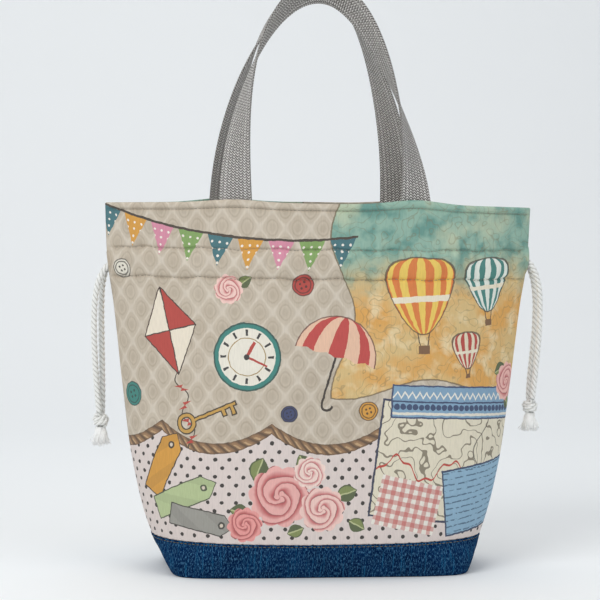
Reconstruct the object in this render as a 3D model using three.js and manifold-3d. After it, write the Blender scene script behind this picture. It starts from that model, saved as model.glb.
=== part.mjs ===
// A lined drawstring tote bag: printed panels on a denim base, two webbing handles, two cotton drawstrings.
// Millimetres, +Z up, front towards -Y. The origin is the middle of the base, on the surface it stands on.
import * as THREE from "three";
import { mergeVertices } from "three/addons/utils/BufferGeometryUtils.js";
import Module from "manifold-3d";

const wasm = await Module();
wasm.setup();

// Driving sizes of the bag: its width and depth at seven heights, from the base up to the rim
const BAG_HEIGHT = 282;
const BASE_WIDTH = 229;
const BASE_DEPTH = 108;
const DENIM_HEIGHT = 27;
const DENIM_TOP_WIDTH = 258;
const DENIM_TOP_DEPTH = 128;
const LOWER_HEIGHT = 77;
const LOWER_WIDTH = 286;
const LOWER_DEPTH = 130;
const BELLY_HEIGHT = 143;
const BELLY_WIDTH = 305.6;
const BELLY_DEPTH = 132;
const UPPER_DROP = 77; // below the rim
const UPPER_WIDTH = 320.6;
const UPPER_DEPTH = 122;
const CASING_WIDTH = 330;
const CASING_DEPTH = 112;
const RIM_WIDTH = 334.4;
const RIM_DEPTH = 100;
const CASING_DROP = 34; // from the rim to the upper row of stitching
const CASING_HEIGHT = 22; // between the two rows
const GAP = 0.3; // between touching pieces

// Cloth thicknesses
const OUTER_CLOTH = 1.2;
const LINING_CLOTH = 0.8;
const DENIM_CLOTH = 1.4;
const STIFFENER_BOARD = 1.0;

// Webbing handles
const WEBBING_WIDTH = 25;
const WEBBING_THICKNESS = 2;
const HANDLE_SPREAD = 138.5; // between the middles of one handle's two ends
const FRONT_HANDLE_ASIDE = 1.6; // to the left of the bag's middle
const BACK_HANDLE_ASIDE = 4.4;
const HANDLE_RISE = 164;
const HANDLE_DRAW = 4; // the right leg of each arch runs this far inside an even curve
const HANDLE_TWIST_DEG = 114; // how far the webbing has turned at the top of the arch
const HANDLE_TWIST_EASE = 1.95; // the higher, the nearer the ends the webbing turns
const HANDLE_TOP_SPACE = 1; // each arch stays this far from the bag's middle plane
const HANDLE_FOOT_SPACE = 0.6; // under the leaning arch, above its sewn ends
const TAB_DEPTH = 30; // how far each end runs down inside the rim

// Drawstrings
const CORD_DIAMETER = 5;
const LEFT_CORD_RISE = 8.2; // above the lower row of the casing's stitching
const CORD_RISE_STEP = 5.8; // from the left cord to the right one, which runs above it
const CASING_SPACE = 7.8; // between the cloth and the lining, where the cords run
const CASING_EASE = 0.6; // between a cord and the cloth it runs along
const CORD_SLIT_BELOW = 4.8; // from the cord's middle to the end of the opening in the seam
const CORD_SLIT_ABOVE = 7.8;
const CORD_SLIT_DEPTH = 11; // from the side seam inwards
const CORD_SLIT_WIDTH = 24; // across the bag, wider than the cloth is there
const STRAND_PITCH = 6.2; // between the two strands where they leave the bag
const LEFT_CORD_DROP = 114.2; // from the cord's exit to the top of its knot
const RIGHT_CORD_DROP = 115;
const KNOT_HEIGHT = 14;
const KNOT_RADIUS = 8.5;
const TASSEL_LENGTH = 17;
const TASSEL_TOP_RADIUS = 5.2;
const TASSEL_END_RADIUS = 9.5;

// How finely the curved pieces are faceted
const PANEL_COLUMNS = 20;
const PLAN_SAMPLES = 240;
const CORD_SIDES = 8;
const STRAND_STEPS = 22;
const RUN_STEPS = 50;
const HANDLE_STEPS = 36;
const TURNED_SEGMENTS = 14;

// The casing and the cords in it are set out from the rim.
const CASING_TOP = BAG_HEIGHT - CASING_DROP;
const CASING_BOTTOM = CASING_TOP - CASING_HEIGHT;
const LEFT_CORD_HEIGHT = CASING_BOTTOM + LEFT_CORD_RISE;
const RIGHT_CORD_HEIGHT = LEFT_CORD_HEIGHT + CORD_RISE_STEP;

// The bag's plan at the seven heights. The powers say how square it is along its width and its
// depth: the base is a rounded rectangle and the mouth a pointed lens.
const station = (height, width, depth, widthPower, depthPower) => {
  return { height, halfWidth: width / 2, halfDepth: depth / 2, widthPower, depthPower };
};
const STATIONS = [
  station(0, BASE_WIDTH, BASE_DEPTH, 7, 7),
  station(DENIM_HEIGHT, DENIM_TOP_WIDTH, DENIM_TOP_DEPTH, 2.7, 2.3),
  station(LOWER_HEIGHT, LOWER_WIDTH, LOWER_DEPTH, 2.7, 2),
  station(BELLY_HEIGHT, BELLY_WIDTH, BELLY_DEPTH, 2.3, 1.5),
  station(BAG_HEIGHT - UPPER_DROP, UPPER_WIDTH, UPPER_DEPTH, 2.15, 1.25),
  station((CASING_BOTTOM + CASING_TOP) / 2, CASING_WIDTH, CASING_DEPTH, 2.1, 1.15),
  station(BAG_HEIGHT, RIM_WIDTH, RIM_DEPTH, 2.1, 1.1),
];

// Rows of points for a panel between the denim and the casing, closer where the plan changes most.
const share = (low, high, part) => low + (high - low) * part;
const BODY_ROWS = [
  share(DENIM_HEIGHT, LOWER_HEIGHT, 0.23),
  share(DENIM_HEIGHT, LOWER_HEIGHT, 0.55),
  LOWER_HEIGHT,
  share(LOWER_HEIGHT, BELLY_HEIGHT, 0.5),
  BELLY_HEIGHT,
  share(BELLY_HEIGHT, BAG_HEIGHT - UPPER_DROP, 0.5),
  BAG_HEIGHT - UPPER_DROP,
];

// One value of the stations at a height, by a cubic that passes through each of them and never
// swings past them.
function between(key, height) {
  const last = STATIONS.length - 1;
  let i = 0;
  while (i < last - 1 && height > STATIONS[i + 1].height) i++;
  const slope = (j) => {
    const here = STATIONS[j];
    const neighbours = [STATIONS[j - 1], STATIONS[j + 1]].filter(Boolean);
    const steps = neighbours.map((near) => (near[key] - here[key]) / (near.height - here.height));
    const mean = steps.reduce((sum, step) => sum + step, 0) / steps.length;
    if (steps.some((step) => step * mean <= 0)) return 0;
    return Math.sign(mean) * Math.min(Math.abs(mean), ...steps.map((step) => 2 * Math.abs(step)));
  };
  const [low, high] = [STATIONS[i], STATIONS[i + 1]];
  const span = high.height - low.height;
  const t = (height - low.height) / span;
  const rise = t * t * (3 - 2 * t);
  const leave = t * (1 - t) ** 2 * span * slope(i);
  const arrive = t * t * (t - 1) * span * slope(i + 1);
  return low[key] + (high[key] - low[key]) * rise + leave + arrive;
}

// Half the plan at a height, from the left seam round the front to the right seam, at even steps.
function frontHalf(height) {
  const [a, b, p, q] = ["halfWidth", "halfDepth", "widthPower", "depthPower"].map((key) => between(key, height));
  const fine = [];
  const travelled = [0];
  for (let i = 0; i <= PLAN_SAMPLES; i++) {
    const c = Math.cos((Math.PI * i) / PLAN_SAMPLES);
    const s = Math.max(0, Math.sin((Math.PI * i) / PLAN_SAMPLES));
    fine.push(new THREE.Vector2(-Math.sign(c) * a * Math.abs(c) ** (2 / p), -b * s ** (2 / q)));
    if (i) travelled.push(travelled[i - 1] + fine[i].distanceTo(fine[i - 1]));
  }
  const points = [];
  let k = 0;
  for (let i = 0; i <= PANEL_COLUMNS; i++) {
    const goal = (travelled[PLAN_SAMPLES] * i) / PANEL_COLUMNS;
    while (k < PLAN_SAMPLES - 1 && travelled[k + 1] < goal) k++;
    const share = (goal - travelled[k]) / (travelled[k + 1] - travelled[k]);
    points.push(fine[k].clone().lerp(fine[k + 1], Math.min(1, share)));
  }
  return points;
}

// The same half plan for a layer further in: every side of it moves in by the same distance, and
// its two ends stay on the middle plane between front and back.
function layerAt(height, inset) {
  const points = frontHalf(height);
  const last = points.length - 1;
  const along = points.slice(1).map((point, i) => point.clone().sub(points[i]).normalize());
  const inward = along.map((d) => new THREE.Vector2(-d.y, d.x));
  return points.map((point, i) => {
    if (i === 0 || i === last) {
      const side = i ? last - 1 : 0;
      const moved = point.clone().addScaledVector(inward[side], inset);
      return moved.addScaledVector(along[side], -moved.y / along[side].y);
    }
    const middle = inward[i - 1].clone().add(inward[i]).normalize();
    return point.clone().addScaledVector(middle, inset / middle.dot(inward[i]));
  });
}

// How far in front of the middle plane a layer lies at x, at a height.
function reachAt(x, height, inset) {
  const points = layerAt(height, inset);
  let i = 0;
  while (i < points.length - 2 && points[i + 1].x < x) i++;
  const share = (x - points[i].x) / (points[i + 1].x - points[i].x);
  return -THREE.MathUtils.lerp(points[i].y, points[i + 1].y, share);
}

// Geometry and solids
function geometryOf(vertices, triangles) {
  const geometry = new THREE.BufferGeometry();
  geometry.setAttribute("position", new THREE.Float32BufferAttribute(vertices.flatMap((v) => [v.x, v.y, v.z]), 3));
  geometry.setIndex(triangles.flat());
  return geometry;
}

// A closed sheet between two equal grids of points, skin on the outside and back on the inside.
function sheetBetween(skin, back) {
  const rows = skin.length;
  const columns = skin[0].length;
  const vertices = [...skin.flat(), ...back.flat()];
  const at = (side, r, c) => side * rows * columns + r * columns + c;
  const triangles = [];
  const quad = (a, b, c, d) => triangles.push([a, b, c], [a, c, d]);
  for (let r = 0; r < rows - 1; r++) {
    for (let c = 0; c < columns - 1; c++) {
      quad(at(0, r, c), at(0, r, c + 1), at(0, r + 1, c + 1), at(0, r + 1, c));
      quad(at(1, r, c), at(1, r + 1, c), at(1, r + 1, c + 1), at(1, r, c + 1));
    }
    quad(at(0, r, 0), at(0, r + 1, 0), at(1, r + 1, 0), at(1, r, 0));
    const end = columns - 1;
    quad(at(0, r + 1, end), at(0, r, end), at(1, r, end), at(1, r + 1, end));
  }
  for (let c = 0; c < columns - 1; c++) {
    quad(at(0, 0, c + 1), at(0, 0, c), at(1, 0, c), at(1, 0, c + 1));
    const top = rows - 1;
    quad(at(0, top, c), at(0, top, c + 1), at(1, top, c + 1), at(1, top, c));
  }
  return geometryOf(vertices, triangles);
}

// A closed body through a list of closed rings of points, each ring flat enough to be capped. Its
// second half is split the other way, so that front and back mirror each other.
function loft(rings) {
  const sides = rings[0].length;
  const vertices = rings.flat();
  const triangles = [];
  for (let r = 0; r < rings.length - 1; r++) {
    for (let c = 0; c < sides; c++) {
      const next = (c + 1) % sides;
      const low = r * sides;
      const high = low + sides;
      if (c < sides / 2) triangles.push([low + c, low + next, high + next], [low + c, high + next, high + c]);
      else triangles.push([low + c, low + next, high + c], [low + next, high + next, high + c]);
    }
  }
  for (const [ring, turn] of [[0, 1], [rings.length - 1, 0]]) {
    const middle = new THREE.Vector3();
    rings[ring].forEach((point) => middle.addScaledVector(point, 1 / sides));
    vertices.push(middle);
    const hub = vertices.length - 1;
    for (let c = 0; c < sides; c++) {
      const edge = [ring * sides + c, ring * sides + ((c + 1) % sides)];
      triangles.push(turn ? [edge[1], edge[0], hub] : [edge[0], edge[1], hub]);
    }
  }
  return geometryOf(vertices, triangles);
}

function solidFrom(geometry) {
  const bare = geometry.clone();
  bare.deleteAttribute("normal");
  bare.deleteAttribute("uv");
  const merged = mergeVertices(bare, 1e-4);
  return new wasm.Manifold(
    new wasm.Mesh({
      numProp: 3,
      vertProperties: new Float32Array(merged.attributes.position.array),
      triVerts: new Uint32Array(merged.index.array),
    }),
  );
}

function geometryFrom(solid) {
  const mesh = solid.getMesh();
  const geometry = new THREE.BufferGeometry();
  geometry.setAttribute("position", new THREE.Float32BufferAttribute(mesh.vertProperties, 3));
  geometry.setIndex(Array.from(mesh.triVerts));
  return geometry;
}

const bag = new THREE.Group();

function add(name, geometry, material) {
  geometry.computeVertexNormals();
  const mesh = new THREE.Mesh(geometry, material);
  mesh.name = name;
  bag.add(mesh);
  return mesh;
}

const cloth = (color, roughness) => new THREE.MeshStandardMaterial({ color, roughness, metalness: 0 });
const printedCanvas = cloth(0xcdbfae, 0.85);
const denim = cloth(0x24476f, 0.9);
const liningCotton = cloth(0xe9e4da, 0.85);
const stiffenerFelt = cloth(0xdedede, 0.95);
const webbing = cloth(0x9c958d, 0.85);
const cottonCord = cloth(0xe6e4dc, 0.9);

// Cloth panels: the front ones run from seam to seam on the -Y side, the back ones mirror them.
function clothPanel(heights, insetAt, thickness) {
  const grid = (extra) =>
    heights.map((height) =>
      layerAt(height, insetAt(height) + extra).map(
        (point) => new THREE.Vector3(point.x, point.y - GAP / 2, height),
      ),
    );
  return sheetBetween(grid(0), grid(thickness));
}

function mirrored(geometry, axis) {
  const copy = geometry.clone();
  copy.scale(axis === "x" ? -1 : 1, axis === "y" ? -1 : 1, 1);
  const index = copy.index.array;
  for (let i = 0; i < index.length; i += 3) [index[i + 1], index[i + 2]] = [index[i + 2], index[i + 1]];
  return copy;
}

// The side seams stay open over the casing, where each drawstring comes out.
function cutCordSlits(geometry) {
  let solid = solidFrom(geometry);
  for (const [side, height] of [[-1, LEFT_CORD_HEIGHT], [1, RIGHT_CORD_HEIGHT]]) {
    const seam = between("halfWidth", height);
    const tall = CORD_SLIT_ABOVE + CORD_SLIT_BELOW;
    const tool = new THREE.BoxGeometry(2 * CORD_SLIT_DEPTH, CORD_SLIT_WIDTH, tall);
    tool.translate(side * seam, 0, height + CORD_SLIT_ABOVE - tall / 2);
    solid = solid.subtract(solidFrom(tool));
  }
  return geometryFrom(solid);
}

function printedPanels() {
  const bottom = DENIM_HEIGHT + GAP;
  const heights = [bottom, ...BODY_ROWS, CASING_BOTTOM, CASING_TOP, BAG_HEIGHT];
  const front = cutCordSlits(clothPanel(heights, () => 0, OUTER_CLOTH));
  add("outer_front_panel", front, printedCanvas);
  add("outer_back_panel", mirrored(front, "y"), printedCanvas);
}

// The lining lies on the printed cloth, and stands away from it where the cords run between them.
const LINING_INSET = OUTER_CLOTH + GAP;
const CASING_INSET = OUTER_CLOTH + CASING_SPACE;
const CASING_SLOPE = 3; // height over which the lining leaves the stitching
const DENIM_ROWS = [0.43 * DENIM_HEIGHT, 0.71 * DENIM_HEIGHT];
const BASE_LAYERS = DENIM_CLOTH + GAP + STIFFENER_BOARD + GAP;

function liningPanels() {
  const bottom = BASE_LAYERS + LINING_CLOTH + GAP;
  const swollen = [CASING_BOTTOM + CASING_SLOPE, CASING_TOP - CASING_SLOPE];
  const heights = [bottom, ...DENIM_ROWS, DENIM_HEIGHT, ...BODY_ROWS];
  heights.push(CASING_BOTTOM, ...swollen, CASING_TOP, BAG_HEIGHT);
  const insetAt = (height) => {
    if (height >= swollen[0] && height <= swollen[1]) return CASING_INSET;
    return height < DENIM_HEIGHT + GAP ? DENIM_CLOTH + GAP : LINING_INSET;
  };
  const front = clothPanel(heights, insetAt, LINING_CLOTH);
  add("lining_front_panel", front, liningCotton);
  add("lining_back_panel", mirrored(front, "y"), liningCotton);
}

// Whole rings of the plan, for the pieces of the base.
function ringAt(height, inset, z = height) {
  const front = layerAt(height, inset);
  const back = front.slice(1, -1).reverse();
  return [...front, ...back.map((point) => new THREE.Vector2(point.x, -point.y))].map(
    (point) => new THREE.Vector3(point.x, point.y, z),
  );
}

function basePieces() {
  const low = 0.2 * DENIM_HEIGHT;
  const levels = [0, low, ...DENIM_ROWS, DENIM_HEIGHT];
  const tub = solidFrom(loft(levels.map((height) => ringAt(height, 0))));
  const hollowLevels = [DENIM_CLOTH, low, ...DENIM_ROWS, DENIM_HEIGHT, DENIM_HEIGHT + 1];
  const hollow = solidFrom(loft(hollowLevels.map((height) => ringAt(height, DENIM_CLOTH))));
  add("denim_base", geometryFrom(tub.subtract(hollow)), denim);

  const plate = (bottom, thickness, inset) =>
    loft([ringAt(bottom, inset), ringAt(bottom, inset, bottom + thickness)]);
  const stiffenerBottom = DENIM_CLOTH + GAP;
  add("base_stiffener", plate(stiffenerBottom, STIFFENER_BOARD, DENIM_CLOTH + GAP), stiffenerFelt);
  add("lining_base", plate(BASE_LAYERS, LINING_CLOTH, DENIM_CLOTH + GAP), liningCotton);
}

// Handles: one strap each, its two ends sewn inside the rim and its arch free to fold outwards.
const TAB_INSET = LINING_INSET + LINING_CLOTH + GAP + 0.15;

// The corners of one strap end at a height: outer and inner edge, each on the lining and off it.
function strapSection(middle, height) {
  const edges = [middle + WEBBING_WIDTH / 2, middle - WEBBING_WIDTH / 2];
  const [outer, inner] = edges.map((x) => new THREE.Vector3(x, -reachAt(x, height, TAB_INSET), height));
  const along = outer.clone().sub(inner).normalize();
  const inward = new THREE.Vector3(-along.y, along.x, 0);
  const centre = outer.clone().add(inner).multiplyScalar(0.5);
  const half = along.clone().multiplyScalar(WEBBING_WIDTH / 2);
  const deep = inward.clone().multiplyScalar(WEBBING_THICKNESS);
  const ring = [centre.clone().sub(half), centre.clone().add(half)];
  ring.push(ring[1].clone().add(deep), ring[0].clone().add(deep));
  return { ring, centre: centre.addScaledVector(deep, 0.5), angle: Math.atan2(along.y, along.x) };
}

// The front handle's arch. The back one is made the same way and mirrored.
function handleArch(aside) {
  const right = strapSection(HANDLE_SPREAD / 2 - aside, BAG_HEIGHT);
  const left = strapSection(HANDLE_SPREAD / 2 + aside, BAG_HEIGHT);
  const apexY = -(WEBBING_WIDTH / 2 + HANDLE_TOP_SPACE);
  const lean = Math.atan2(apexY - (right.centre.y + left.centre.y) / 2, HANDLE_RISE);
  const up = new THREE.Vector3(0, Math.sin(lean), Math.cos(lean));
  const normal = new THREE.Vector3(0, Math.cos(lean), -Math.sin(lean));
  const half = HANDLE_SPREAD / 2;
  const rings = [];
  for (let i = 0; i <= HANDLE_STEPS; i++) {
    const t = (Math.PI * i) / HANDLE_STEPS;
    const rightness = (1 + Math.cos(t)) / 2;
    const footY = THREE.MathUtils.lerp(left.centre.y, right.centre.y, rightness);
    const footAngle = THREE.MathUtils.lerp(left.angle, right.angle, rightness);
    const draw = t < Math.PI / 2 ? HANDLE_DRAW : 0;
    const x = half * Math.cos(t) - draw * Math.sin(2 * t) ** 2 - aside;
    const centre = new THREE.Vector3(x, footY, BAG_HEIGHT + HANDLE_FOOT_SPACE);
    centre.addScaledVector(up, HANDLE_RISE * Math.sin(t));
    const slope = new THREE.Vector3(-half * Math.sin(t) - 2 * draw * Math.sin(4 * t), 0, 0);
    slope.addScaledVector(up, HANDLE_RISE * Math.cos(t)).normalize();
    const outward = normal.clone().cross(slope).normalize();
    const nearness = 1 - Math.abs(1 - (2 * t) / Math.PI);
    const eased = 1 - (1 - nearness) ** HANDLE_TWIST_EASE;
    const turn = footAngle + (THREE.MathUtils.degToRad(HANDLE_TWIST_DEG) - footAngle) * eased;
    const across = outward.multiplyScalar(Math.cos(turn)).addScaledVector(normal, Math.sin(turn));
    const thick = slope.clone().cross(across).normalize();
    const corner = (w, h) =>
      centre
        .clone()
        .addScaledVector(across, (w * WEBBING_WIDTH) / 2)
        .addScaledVector(thick, (h * WEBBING_THICKNESS) / 2);
    rings.push([corner(-1, -1), corner(1, -1), corner(1, 1), corner(-1, 1)]);
  }
  return loft(rings);
}

function handles() {
  const endAt = (x) =>
    loft([strapSection(x, BAG_HEIGHT - TAB_DEPTH).ring, strapSection(x, BAG_HEIGHT).ring]);
  const rightEnd = (aside) => endAt(HANDLE_SPREAD / 2 - aside);
  const leftEnd = (aside) => mirrored(endAt(HANDLE_SPREAD / 2 + aside), "x");
  add("front_handle_arch", handleArch(FRONT_HANDLE_ASIDE), webbing);
  add("back_handle_arch", mirrored(handleArch(BACK_HANDLE_ASIDE), "y"), webbing);
  add("front_handle_right_end", rightEnd(FRONT_HANDLE_ASIDE), webbing);
  add("front_handle_left_end", leftEnd(FRONT_HANDLE_ASIDE), webbing);
  add("back_handle_right_end", mirrored(rightEnd(BACK_HANDLE_ASIDE), "y"), webbing);
  add("back_handle_left_end", mirrored(leftEnd(BACK_HANDLE_ASIDE), "y"), webbing);
}

// Drawstrings: each cord runs right round the casing, and both its ends come out at one side.
function cordAlong(points, steps) {
  const outline = new THREE.Shape();
  for (let i = 0; i < CORD_SIDES; i++) {
    const angle = (2 * Math.PI * i) / CORD_SIDES;
    const [x, y] = [(Math.cos(angle) * CORD_DIAMETER) / 2, (Math.sin(angle) * CORD_DIAMETER) / 2];
    if (i) outline.lineTo(x, y);
    else outline.moveTo(x, y);
  }
  const extrudePath = new THREE.CatmullRomCurve3(points, false, "centripetal");
  return new THREE.ExtrudeGeometry(outline, { steps, extrudePath });
}

// The run inside the casing, drawn for a cord whose ends come out at the right.
const RUN_INSET = OUTER_CLOTH + CASING_EASE + CORD_DIAMETER / 2;
const RUN_POINTS = 14;
const TURN_BACK = 22; // the cord turns back this far short of the far side seam
const TURN_REACH = 13.5; // how far past that point the turn itself goes
const MOUTH_BACK = 24; // where the run leaves the wall for the seam opening
const MOUTH_NECK = 13; // where its two strands come together
const PIVOT_BACK = 1.5; // from the side seam to where the free cord starts
const RUN_CLEARANCE = CORD_DIAMETER / 2 + GAP;

function casingRun(height) {
  const seam = between("halfWidth", height);
  const from = seam - MOUTH_BACK;
  const to = -(seam - TURN_BACK);
  const points = [];
  const exit = seam - PIVOT_BACK - RUN_CLEARANCE;
  points.push(new THREE.Vector3(exit, -STRAND_PITCH / 2, height));
  points.push(new THREE.Vector3(seam - MOUTH_NECK, -0.75 * STRAND_PITCH, height));
  for (let i = 0; i <= RUN_POINTS; i++) {
    const x = from + ((to - from) * i) / RUN_POINTS;
    points.push(new THREE.Vector3(x, -reachAt(x, height, RUN_INSET), height));
  }
  const back = points.map((point) => new THREE.Vector3(point.x, -point.y, height)).reverse();
  const turn = new THREE.Vector3(to - TURN_REACH, 0, height);
  return cordAlong([...points, turn, ...back], RUN_STEPS);
}

// Where the free strands hang, seen for the right side: outwards from the side seam, front to
// back, and down from the exit as a share of the drop to the knot. Picked by eye from the hang.
const FRONT_STRAND = [
  [0, -3.1, 0],
  [3.8, -3.5, 0.035],
  [7.8, -4, 0.11],
  [10.4, -4.2, 0.22],
  [11.2, -4, 0.4],
  [10.4, -3.4, 0.62],
  [8.6, -2.9, 0.83],
  [6.8, -2.7, 1],
];
const BACK_STRAND = [
  [0, 3.1, 0],
  [2.6, 3.4, 0.045],
  [4.8, 3.8, 0.13],
  [5.6, 3.9, 0.26],
  [5.4, 3.7, 0.45],
  [4.8, 3.3, 0.66],
  [4.4, 2.9, 0.84],
  [4.4, 2.7, 1],
];
const KNOT_OUT = 5.6; // from where the strands start to the middle of the knot

function strand(points, height, drop) {
  const start = between("halfWidth", height) - PIVOT_BACK;
  const fall = drop - GAP;
  const route = points.map(([out, y, down]) => new THREE.Vector3(start + out, y, height - down * fall));
  return cordAlong(route, STRAND_STEPS);
}

function turned(profile) {
  const points = profile.map(([radius, z]) => new THREE.Vector2(radius, z));
  return new THREE.LatheGeometry(points, TURNED_SEGMENTS).rotateX(Math.PI / 2);
}

function knotAndTassel(height, drop) {
  const x = between("halfWidth", height) - PIVOT_BACK + KNOT_OUT;
  const [r, h] = [KNOT_RADIUS, KNOT_HEIGHT];
  const knot = turned([
    [0, -h],
    [0.62 * r, -h],
    [0.95 * r, -0.78 * h],
    [r, -0.5 * h],
    [0.9 * r, -0.2 * h],
    [0.62 * r, 0],
    [0, 0],
  ]);
  const tassel = turned([
    [0, -TASSEL_LENGTH],
    [TASSEL_END_RADIUS, -TASSEL_LENGTH],
    [(TASSEL_TOP_RADIUS + TASSEL_END_RADIUS) / 2, -0.45 * TASSEL_LENGTH],
    [TASSEL_TOP_RADIUS, 0],
    [0, 0],
  ]);
  knot.translate(x, 0, height - drop);
  tassel.translate(x, 0, height - drop - h - GAP);
  return { knot, tassel };
}

function drawstring(side, height, drop) {
  const place = (geometry) => (side === "left" ? mirrored(indexed(geometry), "x") : geometry);
  add(side + "_cord_run", place(casingRun(height)), cottonCord);
  add(side + "_front_strand", place(strand(FRONT_STRAND, height, drop)), cottonCord);
  add(side + "_back_strand", place(strand(BACK_STRAND, height, drop)), cottonCord);
  const { knot, tassel } = knotAndTassel(height, drop);
  add(side + "_knot", place(knot), cottonCord);
  add(side + "_tassel", place(tassel), cottonCord);
}

function indexed(geometry) {
  const bare = geometry.clone();
  bare.deleteAttribute("normal");
  bare.deleteAttribute("uv");
  return mergeVertices(bare, 1e-4);
}

printedPanels();
liningPanels();
basePieces();
handles();
drawstring("left", LEFT_CORD_HEIGHT, LEFT_CORD_DROP);
drawstring("right", RIGHT_CORD_HEIGHT, RIGHT_CORD_DROP);

export default bag;
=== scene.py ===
# A lined tote bag of printed canvas on a denim base. Two webbing handles are sewn inside the rim,
# and two cotton drawstrings run in a casing below it and hang knotted at the side seams.
import math
import random

import bmesh
import bpy
import numpy as np
from mathutils import Matrix, Vector


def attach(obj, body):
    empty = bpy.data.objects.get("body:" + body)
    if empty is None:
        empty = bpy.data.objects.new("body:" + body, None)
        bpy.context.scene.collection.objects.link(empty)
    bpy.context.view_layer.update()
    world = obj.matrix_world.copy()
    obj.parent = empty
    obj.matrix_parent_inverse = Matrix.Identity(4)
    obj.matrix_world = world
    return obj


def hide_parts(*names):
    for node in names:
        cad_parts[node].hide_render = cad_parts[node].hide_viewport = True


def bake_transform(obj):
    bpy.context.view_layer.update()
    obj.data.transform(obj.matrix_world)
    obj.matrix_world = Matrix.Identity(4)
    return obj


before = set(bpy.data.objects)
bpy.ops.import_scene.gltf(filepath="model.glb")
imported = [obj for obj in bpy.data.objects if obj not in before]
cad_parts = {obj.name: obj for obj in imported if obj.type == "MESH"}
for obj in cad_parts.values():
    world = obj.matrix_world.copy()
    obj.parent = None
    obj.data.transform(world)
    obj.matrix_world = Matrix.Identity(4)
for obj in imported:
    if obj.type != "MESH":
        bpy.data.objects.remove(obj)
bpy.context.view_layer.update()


# Studio. The bag stands on a pale paper sweep that curves up behind it, under wide soft lamps,
# and the camera looks from a little above the rim and a little to the left of the front.
EYE_DISTANCE = 1.45
EYE_HEIGHT = 0.285
EYE_LENS = 111.8
EYE_AROUND = math.radians(7.5)
EYE_PITCH = math.radians(-3.06)
EYE_ASIDE = math.radians(0.595)
EYE_ROLL = math.radians(0.76)

eye = bpy.data.objects.new("camera", bpy.data.cameras.new("camera"))
bpy.context.collection.objects.link(eye)
bpy.context.scene.camera = eye
eye.data.sensor_width = 36
eye.data.lens = EYE_LENS
eye.data.clip_start = 0.01
stand = Vector((-math.sin(EYE_AROUND), -math.cos(EYE_AROUND), 0)) * EYE_DISTANCE
stand.z = EYE_HEIGHT
heading = Matrix.Rotation(EYE_ASIDE - EYE_AROUND, 4, "Z")
tilt = Matrix.Rotation(math.pi / 2 + EYE_PITCH, 4, "X") @ Matrix.Rotation(EYE_ROLL, 4, "Z")
eye.matrix_world = Matrix.Translation(stand) @ heading @ tilt
bpy.context.scene.view_settings.view_transform = "Standard"


def blank_finish(name, settings):
    """A new material with one Principled shader, set as asked, and its node tree."""
    material = bpy.data.materials.new(name)
    material.use_nodes = True
    tree = material.node_tree
    tree.nodes.clear()
    shader = tree.nodes.new("ShaderNodeBsdfPrincipled")
    for socket, value in settings.items():
        shader.inputs[socket].default_value = value
    result = tree.nodes.new("ShaderNodeOutputMaterial")
    tree.links.new(shader.outputs["BSDF"], result.inputs["Surface"])
    return material, tree, shader


PAPER_COLOUR = (0.90, 0.918, 0.926, 1)
SWEEP_WIDTH = 5.0
SWEEP_FRONT = -2.2
SWEEP_BEND = 0.9
SWEEP_RADIUS = 0.7
SWEEP_TOP = 2.4
paper = bmesh.new()
bmesh.ops.create_grid(paper, x_segments=2, y_segments=60, size=1.0)
sweep_run = SWEEP_BEND - SWEEP_FRONT
sweep_arc = SWEEP_RADIUS * math.pi / 2
for vert in paper.verts:
    along = (vert.co.y + 1) / 2 * (sweep_run + sweep_arc + SWEEP_TOP)
    turn = min(max(along - sweep_run, 0) / SWEEP_RADIUS, math.pi / 2)
    rise = max(along - sweep_run - sweep_arc, 0)
    deep = SWEEP_FRONT + min(along, sweep_run) + SWEEP_RADIUS * math.sin(turn)
    vert.co = (vert.co.x * SWEEP_WIDTH / 2, deep, SWEEP_RADIUS * (1 - math.cos(turn)) + rise)
sweep_mesh = bpy.data.meshes.new("paper_sweep")
paper.to_mesh(sweep_mesh)
paper.free()
sweep_mesh.polygons.foreach_set("use_smooth", [True] * len(sweep_mesh.polygons))
sweep = bpy.data.objects.new("paper_sweep", sweep_mesh)
bpy.context.collection.objects.link(sweep)

sweep_look = {"Base Color": PAPER_COLOUR, "Roughness": 0.9}
sweep_finish, sweep_tree, sweep_shader = blank_finish("studio_paper", sweep_look)
sweep_mesh.materials.append(sweep_finish)
# From behind, a camera looks through the back of the paper and still sees the bag.
sweep_side = sweep_tree.nodes.new("ShaderNodeNewGeometry")
sweep_ray = sweep_tree.nodes.new("ShaderNodeLightPath")
seen_from_behind = sweep_tree.nodes.new("ShaderNodeMath")
seen_from_behind.operation = "MULTIPLY"
sweep_tree.links.new(sweep_side.outputs["Backfacing"], seen_from_behind.inputs[0])
sweep_tree.links.new(sweep_ray.outputs["Is Camera Ray"], seen_from_behind.inputs[1])
see_through = sweep_tree.nodes.new("ShaderNodeBsdfTransparent")
sweep_mix = sweep_tree.nodes.new("ShaderNodeMixShader")
sweep_tree.links.new(seen_from_behind.outputs[0], sweep_mix.inputs["Fac"])
sweep_tree.links.new(sweep_shader.outputs["BSDF"], sweep_mix.inputs[1])
sweep_tree.links.new(see_through.outputs["BSDF"], sweep_mix.inputs[2])
sweep_tree.links.new(sweep_mix.outputs["Shader"], sweep_tree.nodes["Material Output"].inputs["Surface"])

world = bpy.data.worlds.new("studio")
bpy.context.scene.world = world
world.use_nodes = True
sky = world.node_tree.nodes["Background"]
sky.inputs["Color"].default_value = (0.93, 0.96, 1.0, 1)
sky.inputs["Strength"].default_value = 0.42
BAG_MIDDLE = Vector((0, 0, 0.16))


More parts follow.
